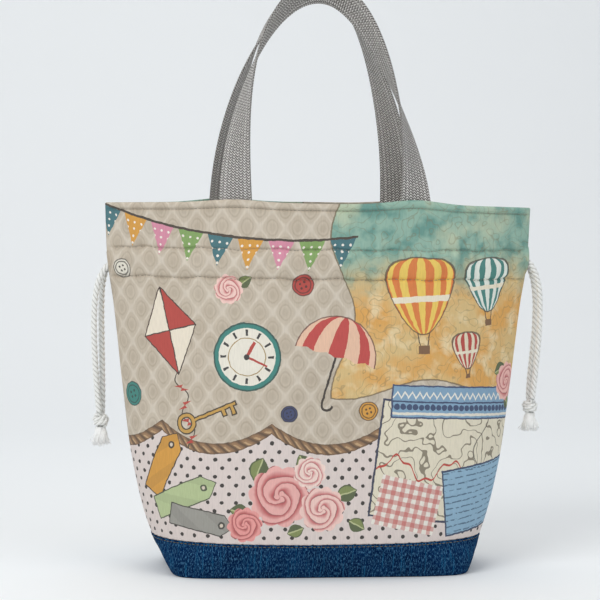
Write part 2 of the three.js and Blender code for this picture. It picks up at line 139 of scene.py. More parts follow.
def soft_lamp(name, place, size, power, tint):
    """A square lamp that faces the middle of the bag."""
    lamp = bpy.data.objects.new(name, bpy.data.lights.new(name, "AREA"))
    lamp.data.shape = "SQUARE"
    lamp.data.size = size
    lamp.data.energy = power
    lamp.data.color = tint
    lamp.location = place
    lamp.rotation_euler = (BAG_MIDDLE - Vector(place)).to_track_quat("-Z", "Y").to_euler()
    bpy.context.collection.objects.link(lamp)


soft_lamp("lamp_front_left", (-1.3, -1.3, 1.5), 1.2, 22, (1, 0.99, 0.97))
soft_lamp("lamp_front_right", (1.4, -1.2, 1.0), 1.4, 8, (0.98, 0.99, 1))
soft_lamp("lamp_above", (0, 0.2, 2.0), 1.8, 12, (1, 1, 1))


# Drawstrings. Each is one off-white cotton cord, three plies laid together, that runs right round
# the casing. Both its ends come out at one side seam, hang down, and are tied in one overhand
# knot, below which the plies are left to fray into a tassel.
CORD_THICK = 0.005
CORD_LAY = 0.0122
CORD_STEP = 0.0006
CORD_SIDES = 24
PLY_RADIUS = 0.464
PLY_VALLEY = 0.74
LEFT_EXIT = Vector((-0.1632, 0, 0.2342))
RIGHT_EXIT = Vector((0.16377, 0, 0.24))
LEFT_DROP = 0.1139
RIGHT_DROP = 0.1092
KNOT_OUT = 0.0056
KNOT_TALL = 0.0116
KNOT_CORD_THICK = 0.0043
KNOT_GAP = 0.0003
KNOT_STEPS = 12
KNOT_TURNS = 1.05
KNOT_NECK = 0.0028
KNOT_WOUND = 0.0060
KNOT_REACH = 0.0040
KNOT_LOOSEN = 0.0005
KNOT_SLANT = 0.0010
# The strands' ends inside the knot: how far out and how far down.
KNOT_ENDS = ((0.0012, 0.0096), (0.0014, 0.0118))
TASSEL_YARNS = 150
TASSEL_LENGTH = 0.0148
TASSEL_STEPS = 5
TASSEL_CORE = 0.0116
TASSEL_TUCK = 0.0006
CORE_RADIUS_LOW = 0.0058
CORE_RADIUS_HIGH = 0.0034
YARNS_FROM = 0.0035
YARNS_TO = 0.0022
YARNS_SPLAY = 0.0068
YARN_WAVE = 0.0006
YARN_THIN = 0.00022
YARN_THICK = 0.0004
# Each row: how far out from the exit, how far behind the bag's middle, where a number below 0
# lies in front of it, and what share of the drop. The left side is its mirror image.
FRONT_HANG = (
    (0.0, -0.0031, 0.0),
    (0.0038, -0.0035, 0.035),
    (0.0078, -0.004, 0.11),
    (0.0104, -0.0042, 0.22),
    (0.0112, -0.004, 0.4),
    (0.0104, -0.0034, 0.62),
    (0.0086, -0.0029, 0.83),
    (0.0068, -0.0027, 1.0),
)
BACK_HANG = (
    (0.0, 0.0031, 0.0),
    (0.0026, 0.0034, 0.045),
    (0.0048, 0.0038, 0.13),
    (0.0056, 0.0039, 0.26),
    (0.0054, 0.0037, 0.45),
    (0.0048, 0.0033, 0.66),
    (0.0044, 0.0029, 0.84),
    (0.0044, 0.0027, 1.0),
)
# On the right the same strand hangs closer beside the front one.
RIGHT_BACK_HANG = (
    (0.0, 0.0031, 0.0),
    (0.0034, 0.0034, 0.045),
    (0.0070, 0.0038, 0.13),
    (0.0092, 0.0039, 0.26),
    (0.0094, 0.0037, 0.45),
    (0.0078, 0.0033, 0.66),
    (0.0060, 0.0029, 0.84),
    (0.0051, 0.0027, 1.0),
)


def smooth_route(points, step):
    """A curve through the points, as points that lie a step apart."""
    ends = [points[0] * 2 - points[1]] + list(points) + [points[-1] * 2 - points[-2]]
    fine = []
    for a, b, c, d in zip(ends, ends[1:], ends[2:], ends[3:]):
        t0, t1 = 0.0, math.sqrt((b - a).length)
        t2 = t1 + math.sqrt((c - b).length)
        t3 = t2 + math.sqrt((d - c).length)
        for i in range(24):
            t = t1 + (t2 - t1) * i / 24
            ab = a.lerp(b, (t - t0) / (t1 - t0))
            bc = b.lerp(c, (t - t1) / (t2 - t1))
            cd = c.lerp(d, (t - t2) / (t3 - t2))
            abc = ab.lerp(bc, (t - t0) / (t2 - t0))
            bcd = bc.lerp(cd, (t - t1) / (t3 - t1))
            fine.append(abc.lerp(bcd, (t - t1) / (t2 - t1)))
    fine.append(points[-1].copy())
    travelled = [0.0]
    for a, b in zip(fine, fine[1:]):
        travelled.append(travelled[-1] + (b - a).length)
    count = max(2, round(travelled[-1] / step))
    route = []
    k = 0
    for i in range(count + 1):
        goal = travelled[-1] * i / count
        while k < len(fine) - 2 and travelled[k + 1] < goal:
            k += 1
        part = (goal - travelled[k]) / max(travelled[k + 1] - travelled[k], 1e-9)
        route.append(fine[k].lerp(fine[k + 1], min(part, 1)))
    return route


def route_length(route):
    return sum((b - a).length for a, b in zip(route, route[1:]))


def route_frames(route):
    """Two directions square to the route at each of its points, that turn as little as they can."""
    frames = []
    side = Vector((0, 1, 0))
    for i in range(len(route)):
        ahead = (route[min(i + 1, len(route) - 1)] - route[max(i - 1, 0)]).normalized()
        side = side - ahead * side.dot(ahead)
        if side.length < 1e-3:
            side = ahead.orthogonal()
        side.normalize()
        frames.append((side.copy(), ahead.cross(side)))
    return frames


def blank_grid(rows, columns):
    """Places and a chart to be filled in, with one more column than there are cells across."""
    return np.zeros((rows, columns + 1, 3)), np.zeros((rows, columns + 1, 2))


def woven_piece(spots, chart, joined=False, capped=False):
    """A sheet made from a grid whose rows and columns are laid on the given spots. The chart is
    kept as the piece's own UV map, in metres along the cloth. A joined sheet closes on itself,
    and a capped one is closed at its open ends too."""
    rows, columns = spots.shape[0] - 1, spots.shape[1] - 1
    sheet = bmesh.new()
    cloth = sheet.loops.layers.uv.new("cloth")
    bmesh.ops.create_grid(sheet, x_segments=columns, y_segments=rows, size=1.0)
    cells = {}
    for vert in sheet.verts:
        cells[vert] = (round((vert.co.y + 1) / 2 * rows), round((vert.co.x + 1) / 2 * columns))
    for face in sheet.faces:
        face.smooth = True
        for loop in face.loops:
            loop[cloth].uv = chart[cells[loop.vert]]
    for vert, cell in cells.items():
        vert.co = spots[cell]
    if joined:
        bmesh.ops.remove_doubles(sheet, verts=sheet.verts, dist=1e-6)
    if capped:
        ends = [edge for edge in sheet.edges if edge.is_boundary]
        bmesh.ops.holes_fill(sheet, edges=ends, sides=0)
    bmesh.ops.recalc_face_normals(sheet, faces=sheet.faces)
    return sheet


def finished_piece(name, mesh_in_work, finish, wall=0.0):
    """The piece as an object, with its material. Thin cloth gets its wall on the inner side."""
    mesh = bpy.data.meshes.new(name)
    mesh_in_work.to_mesh(mesh)
    mesh_in_work.free()
    piece = bpy.data.objects.new(name, mesh)
    bpy.context.collection.objects.link(piece)
    mesh.materials.append(finish)
    if wall:
        inward = piece.modifiers.new("cloth", "SOLIDIFY")
        inward.thickness = wall
        inward.offset = -1
    return piece


# One turn round a cord, in its chart.
PLY_CHART = math.pi * CORD_THICK


def lay_reach(angle):
    """How far out a three-ply cord reaches at an angle round it, as a share of its radius."""
    from_ply = abs((angle + math.pi / 3) % (2 * math.pi / 3) - math.pi / 3)
    middle = 1 - PLY_RADIUS
    beside = middle * math.sin(from_ply)
    out = middle * math.cos(from_ply) + math.sqrt(max(0, PLY_RADIUS ** 2 - beside ** 2))
    return max(out, PLY_VALLEY)


def laid_tube(route, thick):
    """A closed tube along the route whose three plies wind round it once every lay."""
    spots, chart = blank_grid(len(route), CORD_SIDES)
    travelled = 0.0
    for i, (point, (fore, aside)) in enumerate(zip(route, route_frames(route))):
        if i:
            travelled += (point - route[i - 1]).length
        for j in range(CORD_SIDES + 1):
            angle = 2 * math.pi * (j % CORD_SIDES) / CORD_SIDES
            reach = thick / 2 * lay_reach(angle + 2 * math.pi * travelled / CORD_LAY)
            spots[i, j] = point + (fore * math.cos(angle) + aside * math.sin(angle)) * reach
            chart[i, j] = (PLY_CHART * (j / CORD_SIDES + travelled / CORD_LAY), travelled)
    return woven_piece(spots, chart, joined=True, capped=True)


def laid_cord(name, route):
    """A drawstring's stretch along the route."""
    return finished_piece(name, laid_tube(route, CORD_THICK), cord_finish)


class Measure:
    """A number that a material works out from place to place over a piece. Sums of such numbers
    are written as on paper, and each step becomes one Math node."""

    def __init__(self, tree, socket):
        self.tree = tree
        self.socket = socket

    def by(self, operation, *others):
        node = self.tree.nodes.new("ShaderNodeMath")
        node.operation = operation
        for socket, value in zip(node.inputs, (self, *others)):
            fill(self.tree, socket, value)
        return Measure(self.tree, node.outputs[0])

    def __add__(self, other):
        return self.by("ADD", other)

    def __sub__(self, other):
        return self.by("SUBTRACT", other)

    def __mul__(self, other):
        return self.by("MULTIPLY", other)

    def __abs__(self):
        return self.by("ABSOLUTE")

    def under(self, limit):
        return self.by("LESS_THAN", limit)

    def over(self, limit):
        return self.by("GREATER_THAN", limit)

    def most(self, other):
        return self.by("MAXIMUM", other)

    def least(self, other):
        return self.by("MINIMUM", other)

    def wave(self, length, shift=0.0):
        return self.by("MULTIPLY_ADD", 2 * math.pi / length, shift).by("SINE")

    def repeat(self, pitch):
        return self.by("WRAP", pitch / 2, -pitch / 2)


def fill(tree, socket, value):
    """Feeds an input with a Measure, a socket, a colour or a plain number."""
    if isinstance(value, Measure):
        value = value.socket
    if isinstance(value, bpy.types.NodeSocket):
        tree.links.new(value, socket)
    elif isinstance(value, tuple):
        socket.default_value = (*value, 1)
    else:
        socket.default_value = value


def mixed(tree, blend, factor, first, second):
    """The colour that comes from two, by a Mix node."""
    node = tree.nodes.new("ShaderNodeMix")
    node.data_type = "RGBA"
    node.blend_type = blend
    for socket, value in (("Factor", factor), (6, first), (7, second)):
        fill(tree, node.inputs[socket], value)
    return node.outputs[2]


def spread(value, low, high):
    """A measure stretched so that low becomes 0 and high becomes 1."""
    node = value.tree.nodes.new("ShaderNodeMapRange")
    node.inputs["From Min"].default_value = low
    node.inputs["From Max"].default_value = high
    fill(value.tree, node.inputs["Value"], value)
    return Measure(value.tree, node.outputs["Result"])


def noise(tree, place, scale=1.0, detail=2.0, stretch=None, roughness=0.5):
    """A Noise node over a place, which a stretch first multiplies across and along."""
    if stretch:
        mapping = tree.nodes.new("ShaderNodeMapping")
        mapping.inputs["Scale"].default_value = (*stretch, 1)
        tree.links.new(place, mapping.inputs["Vector"])
        place = mapping.outputs["Vector"]
    node = tree.nodes.new("ShaderNodeTexNoise")
    node.inputs["Scale"].default_value = scale
    node.inputs["Detail"].default_value = detail
    node.inputs["Roughness"].default_value = roughness
    tree.links.new(place, node.inputs["Vector"])
    return node


def cloudy(*settings, **more):
    """The same noise as one number, about 0 to 1."""
    node = noise(*settings, **more)
    return Measure(node.id_data, node.outputs["Fac"])


def cloth_place(tree):
    """Where a point of the cloth lies, from the piece's own UV map."""
    node = tree.nodes.new("ShaderNodeUVMap")
    node.uv_map = "cloth"
    return node.outputs["UV"]


def across_and_along(tree, place):
    """The first two parts of a place."""
    node = tree.nodes.new("ShaderNodeSeparateXYZ")
    tree.links.new(place, node.inputs[0])
    return Measure(tree, node.outputs["X"]), Measure(tree, node.outputs["Y"])


def tint(shader, colour):
    """Gives a finish its colour."""
    fill(shader.id_data, shader.inputs["Base Color"], colour)


def emboss(shader, height, strength, distance):
    """Lets a height show as bump."""
    tree = shader.id_data
    node = tree.nodes.new("ShaderNodeBump")
    node.inputs["Strength"].default_value = strength
    node.inputs["Distance"].default_value = distance
    fill(tree, node.inputs["Height"], height)
    tree.links.new(node.outputs["Normal"], shader.inputs["Normal"])


cord_look = {"Roughness": 0.88, "Sheen Weight": 0.25, "Sheen Roughness": 0.5}
cord_finish, cord_tree, cord_shader = blank_finish("twisted_cotton", cord_look)
cord_place = cloth_place(cord_tree)
fibres = cloudy(cord_tree, cord_place, detail=3.0, stretch=(5200, 700))
fibre_mask = spread(fibres, 0.3, 0.62)
cotton = mixed(cord_tree, "MIX", fibre_mask, (0.73, 0.73, 0.70), (0.92, 0.925, 0.905))
cord_across, _ = across_and_along(cord_tree, cord_place)
# Painted shade: the cotton is darkened in the grooves where the plies meet.
ply_crown = (cord_across * (3 * 2 * math.pi / PLY_CHART)).by("COSINE")
ply_groove_painted_shade_mask = spread(ply_crown, -1.0, -0.1)
ply_groove_painted_shade = mixed(cord_tree, "MIX", ply_groove_painted_shade_mask, (0.66, 0.655, 0.63), (1, 1, 1))
tint(cord_shader, mixed(cord_tree, "MULTIPLY", 1.0, cotton, ply_groove_painted_shade))
emboss(cord_shader, fibres, 0.6, 0.0002)

fray = random.Random(41)


def below(top, reach, angle, down):
    """A place beside and below the top of a knot or tassel."""
    return top + Vector((reach * math.cos(angle), reach * math.sin(angle), -down))


def overhand_knot(name, top, side, starts):
    """Both strands go in at the top, pass down the middle and wind once round the outside."""
    knot = bmesh.new()
    for which, start in enumerate(starts):
        half = math.pi * which
        neck = Vector((top.x + 0.35 * (start.x - top.x), 0.4 * start.y, top.z - KNOT_NECK))
        points = [start, neck]
        for i in range(KNOT_STEPS + 1):
            part = i / KNOT_STEPS
            angle = half + side * (0.4 + 2 * math.pi * KNOT_TURNS * part)
            reach = KNOT_REACH - KNOT_LOOSEN * math.cos(2 * math.pi * part)
            down = KNOT_NECK + KNOT_WOUND * part - KNOT_SLANT * math.sin(angle)
            points.append(below(top, reach, angle, down))
        points += [below(top, reach, half, down) for reach, down in KNOT_ENDS]
        strand = bpy.data.meshes.new("knotted_strand")
        tube = laid_tube(smooth_route(points, CORD_STEP), KNOT_CORD_THICK)
        tube.to_mesh(strand)
        tube.free()
        knot.from_mesh(strand)
        bpy.data.meshes.remove(strand)
    return finished_piece(name, knot, cord_finish)


def frayed_tassel(name, top, finish):
    """Loose yarns of the cut cord ends, splayed below the knot round a solid heart."""
    yarns = bmesh.new()
    cloth = yarns.loops.layers.uv.new("cloth")
    for _ in range(TASSEL_YARNS):
        around = fray.uniform(0, 2 * math.pi)
        inner = YARNS_FROM * math.sqrt(fray.random())
        splay = fray.uniform(0.5, 1.0) * fray.choice((0.7, 1.0, 1.0))
        outer = YARNS_TO + YARNS_SPLAY * splay * math.sqrt(fray.random())
        length = TASSEL_LENGTH * fray.uniform(0.74, 1.0)
        curl = fray.uniform(0, 2 * math.pi)
        points = []
        for k in range(TASSEL_STEPS + 1):
            t = k / TASSEL_STEPS
            reach = inner + (outer - inner) * t ** 1.4
            wave = YARN_WAVE * math.sin(curl + 6 * t)
            turn = around + 0.5 * t * math.sin(curl)
            points.append(below(top, reach, turn, length * t) + Vector((wave, -wave, 0)))
        thick = fray.uniform(YARN_THIN, YARN_THICK)
        ring = bmesh.ops.create_circle(yarns, cap_ends=True, segments=5, radius=thick)["verts"]
        face = ring[0].link_faces[0]
        bmesh.ops.translate(yarns, verts=ring, vec=points[0])
        for a, b in zip(points, points[1:]):
            region = bmesh.ops.extrude_face_region(yarns, geom=[face])["geom"]
            fresh = [part for part in region if isinstance(part, bmesh.types.BMVert)]
            bmesh.ops.translate(yarns, verts=fresh, vec=b - a)
            old = face
            face = [part for part in region if isinstance(part, bmesh.types.BMFace)][0]
            if a is not points[0]:
                bmesh.ops.delete(yarns, geom=[old], context="FACES_ONLY")
    middle = Matrix.Translation(top - Vector((0, 0, TASSEL_CORE / 2)))
    bmesh.ops.create_cone(
        yarns,
        cap_ends=True,
        segments=28,
        radius1=CORE_RADIUS_LOW,
        radius2=CORE_RADIUS_HIGH,
        depth=TASSEL_CORE,
        matrix=middle,
    )
    for face in yarns.faces:
        face.smooth = True
        for loop in face.loops:
            loop[cloth].uv = (loop.vert.co.x * 0.3, loop.vert.co.z * 0.3)
    bmesh.ops.recalc_face_normals(yarns, faces=yarns.faces)
    return finished_piece(name, yarns, finish)


def spun_finish(name, roughness, scale, low, high, dark, pale):
    """Loose or spun yarn: one colour, broken a little by its fibres."""
    material, tree, shader = blank_finish(name, {"Roughness": roughness})
    place = tree.nodes.new("ShaderNodeTexCoord").outputs["Object"]
    strands = spread(cloudy(tree, place, scale), low, high)
    tint(shader, mixed(tree, "MIX", strands, dark, pale))
    return material


# The frayed yarns are paler than the cord's cotton: painted light that offsets the shade the loose yarns
# cast on one another.
tassel_painted_light_finish = spun_finish(
    "frayed_cotton", 0.9, 900, 0.3, 0.6, (0.90, 0.90, 0.88), (0.97, 0.97, 0.955)
)
DRAWSTRINGS = (
    ("left", -1, LEFT_EXIT, LEFT_DROP, BACK_HANG),
    ("right", 1, RIGHT_EXIT, RIGHT_DROP, RIGHT_BACK_HANG),
)
for side_name, side, leave, drop, back_hang in DRAWSTRINGS:
    tail = side_name + "_tail"
    knot_top = Vector((leave.x + side * KNOT_OUT, 0, leave.z - drop - KNOT_GAP))
    hangs = {}
    for part, hang in (("front", FRONT_HANG), ("back", back_hang)):
        points = [Vector((leave.x + side * out, fore, leave.z - down * drop)) for out, fore, down in hang]
        hangs[part] = smooth_route(points, CORD_STEP)
    starts = [hangs[part][-1] - Vector((0, 0, KNOT_GAP)) for part in ("front", "back")]
    knot = overhand_knot(side_name + "_overhand_knot", knot_top, side, starts)
    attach(knot, tail)
    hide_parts(side_name + "_knot")
    tassel_top = knot_top - Vector((0, 0, KNOT_TALL - TASSEL_TUCK))
    tassel = frayed_tassel(side_name + "_frayed_tassel", tassel_top, tassel_painted_light_finish)
    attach(tassel, tail)
    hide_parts(side_name + "_tassel")
    for part, route in hangs.items():
        cord = laid_cord(side_name + "_" + part + "_cord", route)
        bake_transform(cord)
        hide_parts(side_name + "_" + part + "_strand")
        route_length(route)


# Denim base. A tub of heavy slubby denim, shaped to the bag's flat bottom and sewn to the printed
# canvas above it. The seam is pressed down and topstitched in tan thread.
DENIM_WALL = 0.00078
DENIM_TOP = 0.027
DENIM_FOLD = 0.0007
DENIM_THREADS = 1500
SEAM_SWELL = 0.0004
SEAM_UNDER = 0.009
SOLE_ROUND = 0.0017
WALL_FROM = 0.003
HALF_ROUND = 150
PLATE_HALF_ROUND = 60
TOPSTITCH_PITCH = 0.0083
RIM_HEIGHT = 0.282
CASING_LOW = 0.226
CASING_HIGH = 0.248
CASING_MIDDLE = 0.237
HEM_LOW = 0.2768
SEAM_GAP = 0.00015
LEFT_STRAP_AT = -0.0715
RIGHT_STRAP_AT = 0.0680
# The rear cloth's creases are read this far along from the front's, so that the two differ.
REAR_SHIFT = 0.4
# Height, half width, half depth, and how square the plan is along each, from base to rim.
STANDING = (
    (0.0, 0.1145, 0.054, 7, 7),
    (0.027, 0.129, 0.064, 2.7, 2.3),
    (0.077, 0.143, 0.065, 2.7, 2),
    (0.143, 0.1528, 0.066, 2.3, 1.5),
    (0.205, 0.1603, 0.061, 2.15, 1.25),
    (0.237, 0.165, 0.056, 2.1, 1.15),
    (0.282, 0.1672, 0.05, 2.1, 1.1),
)


def bag_plan(height):
    """Half width, half depth and both powers of the bag's plan at a height."""
    last = len(STANDING) - 1
    i = 0
    while i < last - 1 and height > STANDING[i + 1][0]:
        i += 1

    def slope(j, k):
        near = [STANDING[n] for n in (j - 1, j + 1) if 0 <= n <= last]
        steps = [(other[k] - STANDING[j][k]) / (other[0] - STANDING[j][0]) for other in near]
        mean = sum(steps) / len(steps)
        if any(step * mean <= 0 for step in steps):
            return 0
        return math.copysign(min([abs(mean)] + [2 * abs(step) for step in steps]), mean)

    low, high = STANDING[i], STANDING[i + 1]
    span = high[0] - low[0]
    t = (height - low[0]) / span
    rise = t * t * (3 - 2 * t)
    leave, arrive = t * (1 - t) ** 2 * span, t * t * (t - 1) * span
    plan = []
    for k in (1, 2, 3, 4):
        bend = leave * slope(i, k) + arrive * slope(i + 1, k)
        plan.append(low[k] + (high[k] - low[k]) * rise + bend)
    return plan


def unit_rows(vectors):
    return vectors / np.maximum(np.linalg.norm(vectors, axis=1), 1e-12)[:, None]


def at_even_steps(even, far, values):
    """Each column of the values, read off at even distances along a line."""
    return np.stack([np.interp(even, far, column) for column in values.T], axis=1)


def half_layer(height, inset, columns, back=False):
    """Half of the plan from seam to seam, a layer further in, at even steps: places, outward
    directions, and how far along the cloth each lies from the middle. The rear half is turned
    round to lie as the front one does."""
    wide, deep, p, q = bag_plan(height)
    theta = np.linspace(0, math.pi, 1601)
    c, s = np.cos(theta), np.maximum(np.sin(theta), 0)
    line = np.stack([-np.sign(c) * wide * np.abs(c) ** (2 / p), -deep * s ** (2 / q)], axis=1)
    step = unit_rows(np.gradient(line, axis=0))
    out = np.stack([step[:, 1], -step[:, 0]], axis=1)
    line = line - out * inset
    keep = line[:, 1] < -SEAM_GAP
    line, out = line[keep], out[keep]
    far = np.concatenate([[0], np.cumsum(np.linalg.norm(np.diff(line, axis=0), axis=1))])
    even = np.linspace(0, far[-1], columns + 1)
    spots, outward = at_even_steps(even, far, line), at_even_steps(even, far, out)
    along = even - far[-1] / 2
    if back:
        return spots[::-1] * (-1, 1), outward[::-1] * (-1, 1), -along[::-1]
    return spots, outward, along


def reach_at(x, height, inset):
    """How far in front of the middle plane a layer lies at x."""
    spots = half_layer(height, inset, 600)[0]
    return -float(np.interp(x, spots[:, 0], spots[:, 1]))


creases = random.Random(17)
GATHER_ROWS = (CASING_LOW - 0.005, CASING_LOW, CASING_MIDDLE, CASING_HIGH, CASING_HIGH + 0.004)


def crease_size(least, most):
    """A ridge or a dip, so high or deep."""
    return creases.choice((-1, 1)) * creases.uniform(least, most)


# Each crease: where it lies across and up, how wide and how tall it is, its slant and its size.
# Short gathers pucker the casing's rows, and long drags cross the body.
CREASES = []
for _ in range(54):
    CREASES.append((
        creases.uniform(-0.17, 0.17),
        creases.choice(GATHER_ROWS) + creases.uniform(-0.004, 0.004),
        creases.uniform(0.0022, 0.0055),
        creases.uniform(0.006, 0.014),
        creases.uniform(-0.3, 0.3),
        crease_size(0.0007, 0.0017),
    ))
for _ in range(18):
    CREASES.append((
        creases.uniform(-0.15, 0.15),
        creases.uniform(0.05, 0.2),
        creases.uniform(0.009, 0.02),
        creases.uniform(0.03, 0.06),
        creases.uniform(-0.7, 0.7),
        crease_size(0.0006, 0.0014),
    ))


def hump(away, wide, power=2):
    """1 in the middle, and falling away to 0 past the width."""
    return np.exp(-(away / wide) ** power)


def ripple(s, length, shift=0.0):
    return np.sin(s * 2 * np.pi / length + shift)


def from_strap(s):
    """How far along the cloth the nearer strap is. The rear cloth runs the other way round."""
    across = np.where(s > REAR_SHIFT / 2, REAR_SHIFT - s, s)
    return np.minimum(np.abs(across - LEFT_STRAP_AT), np.abs(across - RIGHT_STRAP_AT))


def cloth_rise(s, z):
    """How far a place on the cloth lies above its even height. The straps hold the rim up, it sags
    between them and towards the seams, and the casing's rows wander."""
    free = np.clip((z - 0.25) / (RIM_HEIGHT - 0.25), 0, 1) ** 1.5
    rear = s > REAR_SHIFT / 2
    across = np.where(rear, s - REAR_SHIFT, s)
    lift = 0.0008 - 0.0011 * (np.abs(across) / 0.17) ** 3
    lift = lift + np.where(across > 0, 0.0036, 0.0024) * hump(from_strap(s), 0.027)
    lift = lift + np.where(rear, 0.0011, 0) * hump(across, 0.055)
    wander = 0.0006 * ripple(s, 0.049, 1.0) + 0.0004 * ripple(s, 0.021)
    return free * lift + wander * hump(z - CASING_MIDDLE, 0.017, 4)


CASING_PUFF = 0.0019
ROW_DIP = 0.0014
ROW_PUCKER = 0.00045
PUCKER_PITCH = 0.0071
RIM_FLARE = 0.0012
HEM_ROLL = 0.0013
HEM_DIP = 0.001
BASE_PUCKER = 0.0003


def cloth_relief(s, z):
    """How far the soft cloth stands out from the plain shape: the casing's puff and gathers, the
    rolled hem, the rim's slack waves, and long shallow drags across the body."""
    mid = np.clip((z - CASING_LOW) / (CASING_HIGH - CASING_LOW), 0, 1)
    relief = CASING_PUFF * np.sin(np.pi * mid) ** 0.8
    for row in (CASING_LOW, CASING_HIGH):
        relief = relief - ROW_DIP * hump(z - row, 0.0011)
        pucker = ripple(s, PUCKER_PITCH, 2 * np.sin(s * 61 + 40 * row))
        relief = relief + ROW_PUCKER * hump(z - row, 0.005) * pucker
    for across, up, wide, tall, slant, size in CREASES:
        near = (s - across - slant * (z - up)) / wide
        relief = relief + size * np.exp(-near ** 2 - ((z - up) / tall) ** 2)
    slack = np.clip((z - 0.24) / 0.042, 0, 1) ** 2
    waves = 0.0016 * ripple(s, 0.118, 0.9) + 0.0008 * ripple(s, 0.041)
    relief = relief + slack * (waves + RIM_FLARE)
    held = hump(from_strap(s), 0.019, 4) * np.clip((z - 0.243) / 0.01, 0, 1)
    relief = relief * (1 - held)
    in_hem = np.clip((z - HEM_LOW) / (RIM_HEIGHT - HEM_LOW), 0, 1)
    relief = relief + HEM_ROLL * np.sin(np.pi * np.clip(in_hem * 1.1, 0, 1)) ** 0.6
    relief = relief - HEM_DIP * hump(z - HEM_LOW, 0.0009)
    base_pucker = ripple(s, TOPSTITCH_PITCH, 1.7 * np.sin(s * 47))
    return relief + BASE_PUCKER * hump(z - DENIM_TOP, 0.006) * base_pucker


def whole_round(height, inset, columns):
    """The whole plan, front and back, as a closed round that starts at the left seam."""
    front, outward, along = half_layer(height, inset, columns)
    front[0, 1] = front[-1, 1] = 0
    back, back_out = (half[::-1] * (1, -1) for half in (front, outward))
    spots = np.concatenate([front, back[1:]])
    length = along[-1] - along[0]
    return spots, np.concatenate([outward, back_out[1:]]), np.concatenate([along, along[1:] + length])


def round_over(count, radius):
    """Rows round a quarter turn from a flat face into a wall: how far up and how far in."""
    angles = np.linspace(0, math.pi / 2, count)
    return [(radius * (1 - math.cos(a)), radius * (1 - math.sin(a))) for a in angles]


def fold_over(count, top, radius):
    """Rows over a folded edge, after the wall's last row: how high and how far in."""
    angles = np.linspace(0, math.pi, count)[1:]
    return [(top - radius + radius * math.sin(a), radius * (1 - math.cos(a))) for a in angles]


def plate_mesh(low, high, inset):
    """A flat plate of the base's shape with softly rounded edges, inside the tub."""
    edge = (high - low) / 2
    rows = [(part, low, 0.0) for part in (0.0, 0.35, 0.7)]
    for angle in np.linspace(0, math.pi, 6):
        rows.append((1.0, low + edge * (1 - math.cos(angle)), edge * (1 - math.sin(angle))))
    rows += [(part, high, 0.0) for part in (0.7, 0.35, 0.0)]
    spots, chart = blank_grid(len(rows), 2 * PLATE_HALF_ROUND)
    for i, (part, height, further) in enumerate(rows):
        spots[i, :, :2] = whole_round((low + high) / 2, inset + further, PLATE_HALF_ROUND)[0] * part
        spots[i, :, 2] = height
        chart[i] = spots[i, :, :2]
    return woven_piece(spots, chart, joined=True)


tub_rows = [(part, 0.0, SOLE_ROUND) for part in (0.0, 0.3, 0.6, 0.85)]
tub_rows += [(1.0, *row) for row in round_over(6, SOLE_ROUND)]
tub_rows += [(1.0, float(height), 0.0) for height in np.linspace(WALL_FROM, DENIM_TOP - DENIM_FOLD, 16)]
tub_rows += [(1.0, *row) for row in fold_over(7, DENIM_TOP, DENIM_FOLD)]
tub_spots, tub_chart = blank_grid(len(tub_rows), 2 * HALF_ROUND)
for i, (part, height, inset) in enumerate(tub_rows):
    ring, outward, along = whole_round(height, inset, HALF_ROUND)
    stand = 0.0004 * ripple(along, 0.047) * np.sin(np.pi * min(height / DENIM_TOP, 1))
    stand = stand + 0.0002 * hump(height - DENIM_TOP, 0.005) * ripple(along, TOPSTITCH_PITCH)
    if part == 1.0:
        # The top of the wall covers the seam allowance and stands out for it.
        stand = stand + SEAM_SWELL * hump(max(0, DENIM_TOP - SEAM_UNDER - height), 0.0012)
    tub_spots[i, :, :2] = ring * part + outward * (stand * part)[:, None]
    tub_spots[i, :, 2] = height
    tub_chart[i, :, 0] = along
    tub_chart[i, :, 1] = height if part == 1.0 else -0.05 * (1 - part)


def shared_effect(name, inputs, outputs):
    """An empty node group, and its inside ends. Each socket is named with its kind."""
    group = bpy.data.node_groups.new(name, "ShaderNodeTree")
    for in_out, sockets in (("INPUT", inputs), ("OUTPUT", outputs)):
        for socket, kind in sockets.items():
            group.interface.new_socket(socket, in_out=in_out, socket_type="NodeSocket" + kind)
    return group, group.nodes.new("NodeGroupInput"), group.nodes.new("NodeGroupOutput")


WEAVE_INPUTS = {"Place": "Vector", "Threads per metre": "Float"}
WEAVE_OUTPUTS = {"Height": "Float", "Slub": "Float"}
weave, weave_in, weave_out = shared_effect("Plain weave", WEAVE_INPUTS, WEAVE_OUTPUTS)
in_threads = weave.nodes.new("ShaderNodeVectorMath")
in_threads.operation = "SCALE"
weave.links.new(weave_in.outputs["Place"], in_threads.inputs[0])
weave.links.new(weave_in.outputs["Threads per metre"], in_threads.inputs["Scale"])
weft, warp = (part.wave(2.0) for part in across_and_along(weave, in_threads.outputs["Vector"]))
over_under = weft.by("MULTIPLY_ADD", warp, 0.5)
thread_slubs = cloudy(weave, in_threads.outputs["Vector"], detail=3.0, stretch=(0.55, 0.07))
fill(weave, weave_out.inputs["Height"], over_under)
fill(weave, weave_out.inputs["Slub"], thread_slubs)


def place_weave(tree, threads, depth, shader, strength):
    """Puts the weave in a material, as bump, and returns its height and its slubs."""
    node = tree.nodes.new("ShaderNodeGroup")
    node.node_tree = weave
    node.inputs["Threads per metre"].default_value = threads
    tree.links.new(cloth_place(tree), node.inputs["Place"])
    emboss(shader, node.outputs["Height"], strength, depth)
    return Measure(tree, node.outputs["Height"]), Measure(tree, node.outputs["Slub"])


